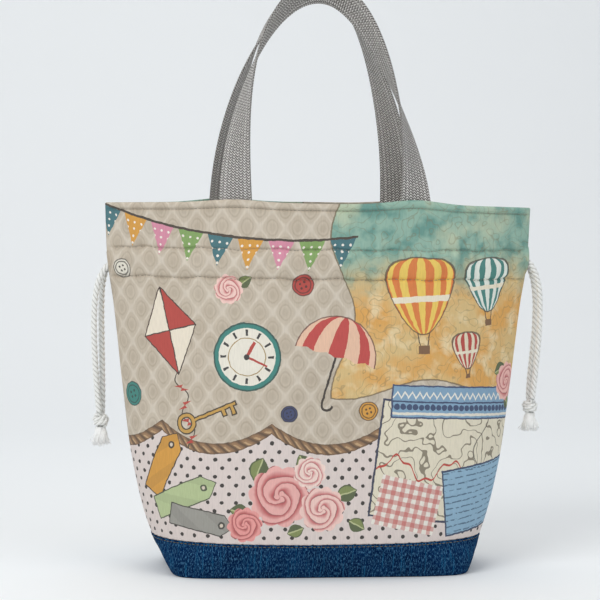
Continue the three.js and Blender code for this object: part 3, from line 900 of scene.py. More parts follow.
denim_look = {"Roughness": 0.85, "Specular IOR Level": 0.02}
denim_finish, denim_tree, denim_shader = blank_finish("indigo_denim", denim_look)
denim_height, _ = place_weave(denim_tree, DENIM_THREADS, 0.00022, denim_shader, 0.8)
denim_place = cloth_place(denim_tree)
faded = spread(cloudy(denim_tree, denim_place, 38.0), 0.35, 0.7)
long_slubs = spread(cloudy(denim_tree, denim_place, detail=1.0, stretch=(620, 42)), 0.56, 0.74)
specks = cloudy(denim_tree, denim_place, detail=4.0, stretch=(1250, 400), roughness=0.65)
indigo = mixed(denim_tree, "MIX", faded, (0.0003, 0.0125, 0.060), (0.0008, 0.027, 0.108))
slubbed = mixed(denim_tree, "MIX", long_slubs, indigo, (0.010, 0.11, 0.25))
specked = mixed(denim_tree, "MIX", spread(specks, 0.50, 0.63), slubbed, (0.066, 0.205, 0.375))
# Painted shade: the weave's sunken threads are darkened, as though shadowed by the raised ones.
weave_hollow_painted_shade = spread(denim_height, -0.4, 0.9)
tint(denim_shader, mixed(denim_tree, "MULTIPLY", 0.55, specked, weave_hollow_painted_shade))

tub = woven_piece(tub_spots, tub_chart, joined=True)
denim_tub = finished_piece("denim_tub", tub, denim_finish, DENIM_WALL)
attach(denim_tub, "bag")
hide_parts("denim_base")


# Stiffener. A board of pressed felt lies in the tub under the lining, and keeps the bottom flat.
# It is cut to the base's shape and nothing holds it but the lining's floor.
PLATE_INSET = 0.0018
BOARD_LOW = 0.0018
BOARD_HIGH = 0.0026


def plain_cloth(name, roughness, threads, depth, strength, dark, pale):
    """Undyed cloth or felt, mottled between two tones."""
    material, tree, shader = blank_finish(name, {"Roughness": roughness})
    _, slubs = place_weave(tree, threads, depth, shader, strength)
    tint(shader, mixed(tree, "MIX", spread(slubs, 0.3, 0.7), dark, pale))
    return material


felt_finish = plain_cloth("pressed_felt", 0.95, 900, 0.0001, 0.3, (0.62, 0.62, 0.62), (0.74, 0.74, 0.74))
board = plate_mesh(BOARD_LOW, BOARD_HIGH, PLATE_INSET)
felt_board = finished_piece("felt_board", board, felt_finish)
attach(felt_board, "bag")
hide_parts("base_stiffener")


# Printed panels. Front and back are cut from cotton canvas and sewn together down both sides. The
# rim is turned in and topstitched, and two more rows hold the casing, whose side seams stay open
# where the drawstrings come out.
CANVAS_WALL = 0.00099
CANVAS_THREADS = 1900
PANEL_COLUMNS = 210
PANEL_TUCK = 0.0011
RIM_FOLD = 0.0011
HEM_TURNED = 0.0026
OPENING_HALF = 0.0067
OPENING_TALL = 0.011
OPENING_RISE = 0.0008
SEAM_PINCH = 0.0006
SIDE_FROM = 0.14
# Above this height an inset row belongs to the turned rim, and below it to the tuck at the denim.
UPPER_HALF = 0.2

panel_rows = []
for angle in (0.0, 0.5, 1.0, math.pi / 2):
    panel_rows.append((DENIM_TOP - 0.0002 + 0.0006 * math.sin(angle), PANEL_TUCK * (1 - math.sin(angle))))
panel_rows += [(float(height), 0.0) for height in np.linspace(DENIM_TOP + 0.0012, 0.2175, 84)]
upper_rows = set(np.linspace(0.2184, RIM_HEIGHT - RIM_FOLD, 74))
for row in (CASING_LOW, CASING_HIGH, HEM_LOW):
    upper_rows.update(row + step * 0.0004 for step in range(-4, 5))
panel_rows += [(float(height), 0.0) for height in sorted(upper_rows)]
panel_rows += fold_over(8, RIM_HEIGHT, RIM_FOLD)
panel_rows.append((RIM_HEIGHT - RIM_FOLD - HEM_TURNED, 2 * RIM_FOLD))


def opened_by(height, middle):
    """How far apart a drawstring holds the two cloths at its opening in the side seam."""
    away = (height - middle - OPENING_RISE) / OPENING_TALL
    return OPENING_HALF * max(0, 1 - away * away) ** 0.7


def panel_spots(rows, columns, lying_in, back):
    """The places of a panel's grid, the front's or, mirrored, the back's."""
    spots, chart = blank_grid(len(rows), columns)
    facing = -1 if back else 1
    for i, (height, inset) in enumerate(rows):
        line, outward, along = half_layer(height, lying_in(height) + inset, columns, back)
        place = along + (REAR_SHIFT if back else 0)
        level = np.full(len(along), height)
        turned_in = inset if height > UPPER_HALF else 0
        edge = np.minimum(np.arange(columns + 1), np.arange(columns + 1)[::-1])
        edge = edge * (along[-1] - along[0]) / columns
        relief = cloth_relief(place, level) * np.clip(edge / 0.008, 0, 1)
        if inset < RIM_FOLD / 2:
            relief = relief - SEAM_PINCH * hump(edge, 0.0014)
        line = line + outward * relief[:, None]
        for side, leave in ((-1, LEFT_EXIT), (1, RIGHT_EXIT)):
            hold = opened_by(height, leave.z) - turned_in
            beside = line[:, 0] * side * facing > SIDE_FROM
            line[:, 1] = np.where(beside, np.minimum(line[:, 1], -hold), line[:, 1])
        line[:, 1] = np.minimum(line[:, 1], -SEAM_GAP)
        spots[i, :, :2] = line * facing
        spots[i, :, 2] = height + cloth_rise(place, level)
        chart[i, :, 0] = along
        chart[i, :, 1] = height + turned_in
    return spots, chart


def sewn_panel(name, spots, chart, back, finish, wall):
    """A panel whose faces point away from the bag's middle, with its wall on the inner side."""
    cloth = woven_piece(spots, chart)
    outside = 1 if back else -1
    near = Vector((0, 0.06 * outside, 0.1))
    probe = min(cloth.faces, key=lambda face: (face.calc_center_median() - near).length)
    if probe.normal.y * outside < 0:
        bmesh.ops.reverse_faces(cloth, faces=cloth.faces)
    return finished_piece(name, cloth, finish, wall)


printed_finish, print_tree, print_shader = blank_finish("printed_canvas", {"Roughness": 0.85})


def vector_step(operation, settings, *places):
    """A Vector Math node over places, with set values for its other inputs."""
    node = print_tree.nodes.new("ShaderNodeVectorMath")
    node.operation = operation
    for socket, value in settings.items():
        node.inputs[socket].default_value = value
    for socket, place in places:
        print_tree.links.new(place, node.inputs[socket])
    return node.outputs[0]


# The print is set out in millimetres from the middle of the panel and up from the floor. Its
# lines waver a little, as printed cloth does, by up to about 0.75 mm either way.
WAVER = 0.75
in_millimetres = vector_step("SCALE", {"Scale": 1000}, (0, cloth_place(print_tree)))
drift = noise(print_tree, in_millimetres, 0.22).outputs["Color"]
wavered = vector_step("MULTIPLY_ADD", {1: (2 * WAVER, 2 * WAVER, 0)}, (0, drift), (2, in_millimetres))


def laid_place(across, up, turn, stretch=1.0):
    """Places measured from a motif's own middle, turned with it."""
    node = print_tree.nodes.new("ShaderNodeMapping")
    node.vector_type = "TEXTURE"
    node.inputs["Location"].default_value = (across + WAVER, up + WAVER, 0)
    node.inputs["Rotation"].default_value = (0, 0, math.radians(turn))
    node.inputs["Scale"].default_value = (stretch, stretch, 1)
    print_tree.links.new(wavered, node.inputs["Vector"])
    return node.outputs["Vector"]


def laid_at(across, up, turn=0.0):
    """How far across and how far up from a motif's own middle."""
    return across_and_along(print_tree, laid_place(across, up, turn))


def mottle(scale, detail=3.0, stretch=None):
    """Cloudy noise over the print, about 0 to 1."""
    return cloudy(print_tree, in_millimetres, scale, detail, stretch)


def ink(code):
    """A printing ink, from its usual code, as the light it gives back."""
    parts = [((code >> shift) & 255) / 255 for shift in (16, 8, 0)]
    return tuple(part / 12.92 if part < 0.04045 else ((part + 0.055) / 1.055) ** 2.4 for part in parts)


class Print:
    """The colour of the cloth, built up ink by ink."""

    def __init__(self, ground):
        self.colour = ink(ground)

    def lay(self, mask, code, strength=1.0):
        if strength != 1.0:
            mask = mask * strength
        self.colour = mixed(print_tree, "MIX", mask, self.colour, ink(code))

    def outline(self, edge, wide, code, strength=1.0, within=None):
        """A line where the edge passes through 0, so wide to either side of it."""
        mask = abs(edge).under(wide)
        self.lay(mask.least(within) if within else mask, code, strength)


def box_edge(u, v, wide, tall):
    """Less than 0 inside a rectangle, and the distance past its nearest side outside it."""
    return (abs(u) - wide / 2).most(abs(v) - tall / 2)


def ring_edge(u, v):
    """The distance from a motif's middle."""
    return (u * u + v * v).by("SQRT")


BRICK = 0xB8372F
POPPY = 0xC23A38
OCHRE = 0xD99B32
TEAL = 0x1E8179
BONE = 0xE9E4D6
DRAB = 0xA39480
BARK = 0x3B2E22
SOOT = 0x3B3128
canvas = Print(0xCBBFAD)
x, y = laid_at(0, 0)

# Ground: a cream trellis of pointed ovals with a sprig in each, in two close shades.
lattice = abs(x.wave(19.0) + y.wave(25.0, 1.2))
canvas.lay(spread(mottle(0.045), 0.3, 0.7), 0xBEB09C, 0.7)
worn = mottle(0.12, 4.0)
canvas.lay(spread(lattice, 0.42, 0.08) * worn, 0xDDD3C4, 1.2)
canvas.lay(spread(abs(lattice - 1.15), 0.3, 0.05) * worn, DRAB, 0.8)
canvas.lay(spread(lattice, 1.5, 1.85) * worn, DRAB, 0.6)

# Wash of water colour at the upper right, ochre below and sea green above, with dried tide lines.
wet, damp = mottle(0.028, 5.0), mottle(0.07, 5.0)
shore = (x + (y.wave(118, 0.4) * 9) - 10).least(y + (x.wave(131, 1.0) * 7) - 144)
washed = shore.over(0)
canvas.lay(washed, 0xDDBE80)
canvas.lay(spread(wet, 0.42, 0.6).least(washed), 0xE2A344, 0.9)
canvas.lay(spread(damp, 0.5, 0.68).least(washed), 0xF0DDB0, 0.8)
sea = spread(y + (wet * 70 - 35), 214, 246).least(washed)
canvas.lay(sea, 0x8FB7A6)
canvas.lay(sea.least(spread(damp, 0.46, 0.62)), 0x4F8F86, 0.85)
canvas.lay(sea.least(spread(wet, 0.52, 0.66)), 0xCBD3B2, 0.7)
tide = spread(abs((mottle(0.045, 2.0) * 9).repeat(1.0)), 0.09, 0.02)
canvas.lay(tide.least(washed), 0x7A6A44, 0.4)
canvas.outline(shore, 0.6, 0x6B5A3C, 0.8)

# Spotted field along the bottom, grey-pink with black spots, under a rope hung in swags.
SPOTS_ACROSS = 10.6
SPOTS_UP = 13.0
draped = x.repeat(86)
swag = y - 99 - (draped * draped * 0.0085)
spotted = swag.under(0)
canvas.lay(spotted, 0xE2D5D0)
spots = ring_edge(x.repeat(SPOTS_ACROSS), y.repeat(SPOTS_UP))
between = ring_edge((x - SPOTS_ACROSS / 2).repeat(SPOTS_ACROSS), (y - SPOTS_UP / 2).repeat(SPOTS_UP))
canvas.lay(spots.least(between).under(1.5).least(spotted), 0x1F1B1D)
on_rope = abs(swag).under(4.0)
plies = (x + swag * 1.1).repeat(7.6)
canvas.lay(on_rope, 0x9A7550)
canvas.lay(spread(abs(plies), 1.2, 3.6).least(on_rope), 0x4B3322, 0.9)
canvas.lay(spread(abs(swag), 2.2, 4.2).least(on_rope), 0x4F3827, 0.75)
canvas.outline(plies + 1.0, 0.9, 0xC9A77C, 0.8, abs(swag + 0.8).under(2.0))

# Cream chart at the lower right, with a few contour lines and a red route.
u, v = laid_at(110, 84, -7)
sheet = box_edge(u, v, 148, 88)
on_sheet = sheet.under(0)
canvas.lay(on_sheet, 0xE8E0C9)
canvas.outline((mottle(0.02) * 15).repeat(1.0), 0.07, 0x6E6450, 0.85, on_sheet)
canvas.outline(v + 6 + (u.wave(46) * 8) + (u.wave(13.0, 2.0) * 2.0), 0.8, 0xC0392E, within=on_sheet)
canvas.outline(u - 14 + (v.wave(50) * 7), 0.6, 0x3E3A33, 0.8, on_sheet)
canvas.outline(sheet, 0.8, 0x26304E)

# Blue ruled paper, a red check and a zigzag and scalloped border, pasted over the chart.
u, v = laid_at(134, 60, 6)
ledger = box_edge(u, v, 84, 50)
on_ledger = ledger.under(0)
canvas.lay(on_ledger, 0x8DB5CF)
unbroken = mottle(0.5, 1.0, (0.5, 1)).over(0.46)
canvas.outline(v.repeat(4.6), 0.55, 0x2D5878, 0.85, unbroken.least(on_ledger))
canvas.outline(ledger, 0.7, 0x203A5E)
u, v = laid_at(62, 56, -13)
on_check = box_edge(u, v, 50, 38).under(0)
canvas.lay(on_check, 0xF1ECE2)
for way in (u, v):
    canvas.outline(way.repeat(7.0), 1.75, POPPY, 0.55, on_check)
u, v = laid_at(112, 132, -3)
band = box_edge(u, v, 128, 24)
on_band = band.under(0)
canvas.lay(on_band, 0x7FA6C4)
canvas.outline(abs(u.repeat(6.0)) * 1.5 - 2.2 + (v - 5), 0.9, 0xF0EDE2, within=on_band)
canvas.outline(v, 0.6, 0x1F3A63, within=on_band)
canvas.lay(ring_edge(u.repeat(5.0), v + 4).under(2.3).least(on_band), 0x22406B)
canvas.outline(v + 9, 1.0, BONE, within=on_band)
canvas.outline(band, 0.6, 0x26406B)

# Bunting across the upper left, on a cord.
PENNANT_PITCH = 23
u, v = laid_at(-82, 258, -7)
slung = v - (u * u * 0.0012)
hung = abs(u.repeat(PENNANT_PITCH))
strung = abs(u).under(103)
pennant = (hung * 2.2 - slung * 0.95 - 22).most(slung).under(0).least(strung)
canvas.lay(pennant, 0x2F6E78)
for nth, colour in ((1, OCHRE), (2, 0xD98BA4), (3, 0x7FA45A)):
    turn = (u - PENNANT_PITCH * nth).repeat(4 * PENNANT_PITCH)
    canvas.outline(turn, PENNANT_PITCH / 2, colour, within=pennant)
flecked = ring_edge(u.repeat(PENNANT_PITCH / 4), slung.repeat(5.2)).under(0.95)
canvas.lay(flecked.least(pennant).least(hung.under(8.5)), 0xF6EFE4)
canvas.outline(slung, 0.9, SOOT, within=strung)


def stripes_round(u, v, size, gores):
    """Stripes that run from pole to pole of a ball, as masks of every other one."""
    reach = (v * v * -1 + size * size).most(1).by("SQRT")
    turned = u.by("DIVIDE", reach).least(1).most(-1).by("ARCSINE")
    return abs(turned.repeat(math.pi / gores)).under(math.pi / gores / 4)


def balloon(across, up, size, paper, stripe):
    """A striped hot-air balloon with its basket."""
    u, v = laid_at(across, up, across / 30)
    narrow = u * (v * (-0.42 / size) + 1)
    squat = v * 0.86
    bag = ring_edge(narrow, squat)
    on_bag = bag.under(size)
    cords_reach = abs(v + size * 1.3).under(size * 0.24)
    canvas.outline(abs(u) - (v * 0.22 + size * 0.45), 0.4, BARK, within=cords_reach)
    canvas.lay(box_edge(u, v + size * 1.62, size * 0.36, size * 0.26).under(0), 0x7A5532)
    canvas.lay(on_bag, paper)
    canvas.lay(stripes_round(narrow, squat, size * 1.02, 6).least(on_bag), stripe)
    canvas.outline(v + size * 0.1, size * 0.09, 0xF2E8D0, within=on_bag)
    canvas.outline(bag - size, 0.5, BARK, 0.8)


balloon(72, 214, 25, 0xE07A2E, 0xF2CE5A)
balloon(132, 222, 18, 0x2F8079, 0xE8EEE4)
balloon(112, 172, 12, BRICK, 0xE8DCC0)


def parasol(across, up, turn, size, paper, stripe):
    """An open parasol seen from the side, with a hooked handle."""
    u, v = laid_at(across, up, turn)
    stick = box_edge(u, v + size * 0.55, 1.7, size * 1.2).under(0)
    hook = abs(ring_edge(u - size * 0.13, v + size * 1.15) - size * 0.13).under(0.85)
    canvas.lay(stick.most(hook.least(v.under(-size * 1.13))), 0x2A211C)
    far = ring_edge(u, v)
    above_hem = (v - abs(u.repeat(size / 2)) * 0.3).over(0)
    shade = far.under(size).least(above_hem)
    canvas.lay(shade, paper)
    canvas.lay(stripes_round(u, v, size * 1.01, 4).least(shade), stripe)
    canvas.outline(far - size, 0.5, 0x5A2A24, 0.8, above_hem)


parasol(4, 168, -16, 31, 0xEFC3A6, POPPY)

# Kite at the left with a tail of bows.
KITE_EDGE = 50
KITE_LINE = 0x3A2420
u, v = laid_at(-122, 182, 14)
tail_v = v + 40
tail = u + (tail_v.wave(26) * 4)
canvas.outline(tail, 0.5, SOOT, within=abs(v + 55).under(30))
from_bow = abs(tail_v.repeat(13))
bows = (abs(tail) * 0.8 - from_bow * 1.2).under(0).least(from_bow.under(2.4))
canvas.lay(bows.least(abs(v + 58).under(26)).least(abs(u).under(9)), BRICK)
kite = abs(u) * 2.3 + abs(v - 4) * 1.5
on_kite = kite.under(KITE_EDGE)
canvas.lay(on_kite, 0xF1E6D2)
canvas.lay(on_kite.least((u * (v - 4)).over(0)), BRICK)
canvas.outline(kite - KITE_EDGE, 1.2, KITE_LINE)
canvas.lay(abs(u).least(abs(v - 4)).under(0.45).least(on_kite), KITE_LINE)


def clock_face(across, up, size):
    """A round clock face: twelve strokes, an inner ring and two hands."""
    u, v = laid_at(across, up)
    far = ring_edge(u, v)
    canvas.lay(far.under(size), TEAL)
    canvas.lay(far.under(size * 0.86), 0xF0EBDD)
    around = v.by("ARCTAN2", u).repeat(math.pi / 6) * (size * 0.72)
    canvas.outline(around, 0.9, 0x23262B, within=abs(far - size * 0.72).under(size * 0.09))
    canvas.outline(far - size * 0.56, 0.35, 0xA68A52)
    for turn, reach, wide in ((62, 0.5, 2.4), (-24, 0.66, 1.6)):
        along, aside = laid_at(across, up, turn)
        canvas.lay(box_edge(along - size * reach / 2, aside, size * reach, wide).under(0), BRICK)
    canvas.lay(far.under(2.2), 0x23262B)
    canvas.outline(far - size, 0.6, 0x12504B)


clock_face(-62, 168, 25)


def sewing_button(across, up, size, paper, line):
    """A button with a raised rim and four holes."""
    u, v = laid_at(across, up, 20)
    far = ring_edge(u, v)
    canvas.lay(far.under(size), paper)
    canvas.lay(abs(far - size * 0.74).under(0.5).most(abs(far - size).under(0.45)), line, 0.85)
    canvas.lay(ring_edge(abs(u) - size * 0.22, abs(v) - size * 0.22).under(size * 0.12), line)


sewing_button(-20, 222, 8, BRICK, 0x5A1A18)
sewing_button(-30, 126, 6, 0x27396B, 0x11183A)
sewing_button(-158, 136, 9, TEAL, 0x0E4440)
sewing_button(30, 128, 7, OCHRE, 0x5A3C12)
sewing_button(-162, 232, 7, BONE, 0x4A4640)

# Key beside the clock.
TAG_LINE = 0x3B2E1D
u, v = laid_at(-92, 124, 24)
bow = abs(ring_edge(u + 17, v) - 6) - 1.6
shank = box_edge(u - 6, v, 36, 2.6)
bits = box_edge(u - 20, v + 4, 3, 7).least(box_edge(u - 13, v + 3, 3, 6))
key = bow.least(shank).least(bits)
canvas.lay(key.under(0.6), TAG_LINE)
canvas.lay(key.under(-0.4), 0xC79A45)


def luggage_tag(across, up, turn, wide, tall, paper, line):
    """A blank luggage tag: cut corners at one end, with a ringed hole."""
    u, v = laid_at(across, up, turn)
    cut = (u + abs(v) - wide / 2).most(box_edge(u, v, wide, tall))
    canvas.lay(cut.under(0), line)
    on_tag = cut.under(-0.9)
    canvas.lay(on_tag, paper)
    canvas.lay((u * 0.6 + v).wave(23, across).over(0.35).least(on_tag), line, 0.13)
    hole = ring_edge(u - wide / 2 + tall * 0.55, v)
    canvas.lay(hole.under(2.7), line)
    canvas.lay(hole.under(1.3), 0xDCCFBD)


luggage_tag(-128, 86, 62, 54, 20, OCHRE, TAG_LINE)
luggage_tag(-110, 62, 24, 58, 19, 0xB7C894, 0x45513A)
luggage_tag(-96, 44, -10, 52, 17, 0x9B9A93, 0x3C3B38)

# A rose seen from above: five lobes round its rim, and petals in a coil of three arms.
LOBES = 5
PETAL_ARMS = 3
ROSE_OUTPUTS = {"Head": "Float", "Petal": "Float"}
rose, rose_in, rose_out = shared_effect("Rose", {"Place": "Vector"}, ROSE_OUTPUTS)
u, v = across_and_along(rose, rose_in.outputs["Place"])
far = ring_edge(u, v)
turn = v.by("ARCTAN2", u)
lobes = (turn * LOBES + 0.6).by("SINE")
swirl = (turn * PETAL_ARMS + far * 7.0).by("SINE")
coil = far * 3.4 + (turn * (PETAL_ARMS / (2 * math.pi)) + swirl * 0.2)
fill(rose, rose_out.inputs["Head"], (far - abs(lobes) * 0.13).under(0.9))
fill(rose, rose_out.inputs["Petal"], coil.by("FRACT"))


def printed_rose(across, up, size, turn, deep, light):
    """A full-blown rose: petals in a coil, dark at their roots."""
    place = laid_place(across, up, turn, size)
    head = print_tree.nodes.new("ShaderNodeGroup")
    head.node_tree = rose
    print_tree.links.new(place, head.inputs["Place"])
    mask, petal = (Measure(print_tree, head.outputs[output]) for output in ROSE_OUTPUTS)
    canvas.lay(mask, light)
    canvas.lay(mask.least(spread(petal, 0.45, 0.0)), deep, 0.95)
    canvas.lay(mask.least(petal.over(0.93)), 0x7C1F2B, 0.75)


def printed_leaf(across, up, size, turn):
    """A pointed leaf with a pale rib."""
    u, v = laid_at(across, up, turn)
    blade = abs(v) + u * u * (1.6 / size)
    inner = blade.under(size * 0.3)
    canvas.lay(blade.under(size * 0.36), 0x4F5F38)
    canvas.lay(inner.least(v.over(0)), 0x7E8C4E)
    canvas.outline(v, 0.5, 0xC9CF9A, 0.8, inner)


# Each leaf: how far across and up it lies, its size and its turn.
LEAVES = (
    (-52, 84, 20, 70),
    (-18, 88, 18, 120),
    (14, 66, 18, 20),
    (-66, 52, 16, 170),
    (22, 42, 15, 330),
    (150, 156, 16, 200),
    (164, 130, 15, 320),
    (-64, 224, 13, 30),
    (-24, 38, 14, 200),
)
for leaf in LEAVES:
    printed_leaf(*leaf)
printed_rose(-36, 64, 23, 20, 0xB52E3C, 0xF0B3AE)
printed_rose(-4, 54, 17, 140, 0xC24350, 0xF6CFC6)
printed_rose(-62, 42, 13, 250, 0xA92835, 0xEE9E9A)
printed_rose(-14, 82, 12, 80, 0xD0606A, 0xF8DDD3)
printed_rose(160, 146, 15, 300, 0xB93A4A, 0xF3BDB4)
printed_rose(-76, 218, 11, 200, 0xC24350, 0xF6CFC6)

# The ink takes unevenly on the threads, and the cloth has softened its colours.
_, canvas_slubs = place_weave(print_tree, CANVAS_THREADS, 0.00016, print_shader, 0.5)
washed_out = mixed(print_tree, "MIX", 0.07, canvas.colour, ink(0xE8E0D4))
tint(print_shader, mixed(print_tree, "MULTIPLY", 0.35, washed_out, spread(canvas_slubs, -0.6, 0.75)))

for which, back in (("front", False), ("back", True)):
    name = "printed_" + which + "_panel"
    places, chart = panel_spots(panel_rows, PANEL_COLUMNS, lambda height: 0.0, back)
    panel = sewn_panel(name, places, chart, back, printed_finish, CANVAS_WALL)
    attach(panel, "bag")
    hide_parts("outer_" + which + "_panel")


# Lining. Plain off-white cotton, sewn in under the turned rim, that stands away from the canvas
# inside the casing and has a floor of its own over the board.
LINING_WALL = 0.00056
LINING_BACK = 0.0018
LINING_TOP = 0.2788
LINING_COLUMNS = 110
CASING_ROOM = 0.0074
FLOOR_LOW = 0.0031
FLOOR_HIGH = 0.0037


def lining_depth(height):
    """How far inside the canvas the lining lies."""
    part = min(max((height - CASING_LOW) / (CASING_HIGH - CASING_LOW), 0), 1)
    room = 0.0002 if height > DENIM_TOP else 0.0005
    return LINING_BACK + room + CASING_ROOM * min(1, 1.35 * math.sin(math.pi * part))


lining_finish = plain_cloth(
    "lining_cotton", 0.85, 2200, 0.00012, 0.4, (0.70, 0.67, 0.60), (0.80, 0.775, 0.71)
)
lining_rows = [(float(height), 0.0) for height in np.linspace(0.0048, 0.2235, 56)]
lining_rows += [(float(height), 0.0) for height in np.linspace(0.225, LINING_TOP, 30)]
for which, back in (("front", False), ("back", True)):
    name = "lining_" + which + "_piece"
    places, chart = panel_spots(lining_rows, LINING_COLUMNS, lining_depth, back)
    lining = sewn_panel(name, places, chart, back, lining_finish, LINING_WALL)
    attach(lining, "bag")
    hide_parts("lining_" + which + "_panel")
floor = plate_mesh(FLOOR_LOW, FLOOR_HIGH, PLATE_INSET)
lining_floor = finished_piece("lining_floor", floor, lining_finish)
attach(lining_floor, "bag")
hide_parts("lining_base")


# The drawstrings' hidden lengths. Each runs along the front wall from its exit, turns short of
# the far seam and comes back along the rear wall, the left one lying under the right one.
RUN_DEEP = 0.0044
RUN_STEP = 0.0016
RUN_WALL_STEPS = 14
EXIT_BACK = 0.0015
for side_name, side, leave in (("left", -1, LEFT_EXIT), ("right", 1, RIGHT_EXIT)):
    seam = abs(leave.x) + EXIT_BACK
    start, end = seam - 0.024, 0.022 - seam
    ahead = [Vector((seam - 0.0046, -0.0031, leave.z)), Vector((seam - 0.013, -0.00465, leave.z))]
    for i in range(RUN_WALL_STEPS + 1):
        x = start + (end - start) * i / RUN_WALL_STEPS
        ahead.append(Vector((x, -reach_at(x, leave.z, RUN_DEEP), leave.z)))
    turn = Vector((end - 0.0135, 0, leave.z))
    behind = [Vector((point.x, -point.y, point.z)) for point in reversed(ahead)]
    points = [Vector((side * point.x, point.y, point.z)) for point in ahead + [turn] + behind]
    run = laid_cord(side_name + "_cord_in_casing", smooth_route(points, RUN_STEP))
    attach(run, "bag")
    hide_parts(side_name + "_cord_run")


# Handles. Each is one length of heavy cotton webbing, ribbed along its length between thick
# selvedges. Both ends are sewn flat inside the rim, and the strap turns edge-on over the hand.
WEB_WIDE = 0.025
WEB_THICK = 0.002
HANDLE_SPREAD = 0.1377
HANDLE_RISE = 0.1642
HANDLE_DRAW = 0.0032
ARCH_SPACE = 0.001
ARCH_LIFT = 0.0006
ARCH_STEPS = 240
TAB_DEEP = 0.03
TAB_INSET = 0.0027
TAB_STEPS = 9
WEB_ROWS = 300
RIBS = 8
RIB_PITCH = WEB_WIDE / RIBS
RIB_DEEP = 0.00022
STITCH_PITCH = 0.0021
# The strap's under side is charted this far across from its upper side.
UNDER_SIDE = 0.05


def strap_foot(height, side, aside):
    """The middle of a strap's end against the lining at a height, and which way its width runs."""
    x = HANDLE_SPREAD / 2 - side * aside
    corners = [x + WEB_WIDE / 2, x - WEB_WIDE / 2]
    outer, inner = (Vector((corner, -reach_at(corner, height, TAB_INSET), height)) for corner in corners)
    across = (outer - inner).normalized()
    middle = (outer + inner) / 2 + Vector((-across.y, across.x, 0)) * WEB_THICK / 2
    return Vector((side * middle.x, middle.y, height)), Vector((side * across.x, across.y, 0))


def strap_route(foot_aside, top_aside, twist, left_ease, right_ease):
    """The strap's middle line, the direction of its width and the distance along it, from one
    end to the other."""
    right, right_across = strap_foot(RIM_HEIGHT, 1, foot_aside)
    left, left_across = strap_foot(RIM_HEIGHT, -1, foot_aside)
    left_angle, right_angle = math.asin(left_across.y), math.asin(right_across.y)
    lean = math.atan2(-(WEB_WIDE / 2 + ARCH_SPACE) - (right.y + left.y) / 2, HANDLE_RISE)
    up = Vector((0, math.sin(lean), math.cos(lean)))
    square = Vector((0, math.cos(lean), -math.sin(lean)))
    shift = top_aside - foot_aside
    tabs = [RIM_HEIGHT - TAB_DEEP * i / TAB_STEPS for i in range(1, TAB_STEPS + 1)]
    line = [strap_foot(height, 1, foot_aside) for height in reversed(tabs)]
    for i in range(ARCH_STEPS + 1):
        t = math.pi * i / ARCH_STEPS
        rightness = (1 + math.cos(t)) / 2
        on_right = i < ARCH_STEPS / 2
        draw = HANDLE_DRAW if on_right else 0
        aside = foot_aside + shift * math.sin(t)
        x = HANDLE_SPREAD / 2 * math.cos(t) - draw * math.sin(2 * t) ** 2 - aside
        foot = Vector((x, left.y + (right.y - left.y) * rightness, RIM_HEIGHT + ARCH_LIFT))
        going = -HANDLE_SPREAD / 2 * math.sin(t) - 2 * draw * math.sin(4 * t) - shift * math.cos(t)
        slope = (Vector((going, 0, 0)) + up * HANDLE_RISE * math.cos(t)).normalized()
        outward = square.cross(slope).normalized()
        near = 1 - abs(1 - 2 * t / math.pi)
        start = left_angle + (right_angle - left_angle) * rightness
        ease = right_ease if on_right else left_ease
        turn = start + (math.radians(twist) - start) * (1 - (1 - near) ** ease)
        width = outward * math.cos(turn) + square * math.sin(turn)
        line.append((foot + up * HANDLE_RISE * math.sin(t), width))
    line += [strap_foot(height, -1, foot_aside) for height in tabs]
    middles, widths = (np.array(column) for column in zip(*line))
    far = np.concatenate([[0], np.cumsum(np.linalg.norm(np.diff(middles, axis=0), axis=1))])
    even = np.linspace(0, far[-1], WEB_ROWS)
    return at_even_steps(even, far, middles), unit_rows(at_even_steps(even, far, widths)), even


web_profile = []
for i in range(81):
    w = -1 + 2 * i / 80
    edge = max(0, 1 - abs(w) ** 16) ** 0.5
    rib = RIB_DEEP * abs(math.cos(math.pi * w * RIBS / 2)) ** 0.7
    web_profile.append((w * WEB_WIDE / 2, (WEB_THICK / 2 - RIB_DEEP + rib) * edge))
web_ring = web_profile + [(w, -h) for w, h in reversed(web_profile[1:-1])]

# Each rib is a chain of slanting stitches, and a ribbon of paler yarn runs beside either selvedge. The
# yarn's flecked taupe is lightened and darkened by the same height that makes its bump: a painted
# highlight where the yarn crosses over and on each rib's crown, and painted shade in the grooves between
# the ribs.
RIBBON_AT = 0.0078
RIBBON_HALF = 0.0009
web_look = {"Roughness": 0.85, "Sheen Weight": 0.1}
web_finish, web_tree, web_shader = blank_finish("ribbed_webbing", web_look)
web_place = cloth_place(web_tree)
web_across, web_along = across_and_along(web_tree, web_place)
rib_count = web_across.by("DIVIDE", RIB_PITCH)
from_rib = abs(rib_count.by("FRACT") - 0.5)
slanted = from_rib * 1.5 + web_along.by("DIVIDE", STITCH_PITCH)
stitch_wave = (rib_count.by("FLOOR") * 0.37 + slanted).wave(1.0)
yarn = (from_rib * -2.0 + 1.0) * 0.42 + (stitch_wave * 0.58 + 0.06)
flecks = cloudy(web_tree, web_place, stretch=(900, 360))
# Painted light: the raised yarn is lightened and the grooves between the ribs are darkened.
yarn_painted_relief_light = spread(yarn + (flecks * 1.1 - 0.55), 0.0, 1.0)
taupe_with_painted_relief_light = mixed(web_tree, "MIX", yarn_painted_relief_light, (0.085, 0.075, 0.068), (0.86, 0.835, 0.80))
from_ribbon = abs(web_across.repeat(UNDER_SIDE)) - RIBBON_AT
pale_stitch = abs(from_ribbon).under(RIBBON_HALF) * (stitch_wave * 0.3 + 0.3)
tint(web_shader, mixed(web_tree, "MIX", pale_stitch, taupe_with_painted_relief_light, (0.86, 0.84, 0.81)))
emboss(web_shader, yarn, 0.7, 0.0006)

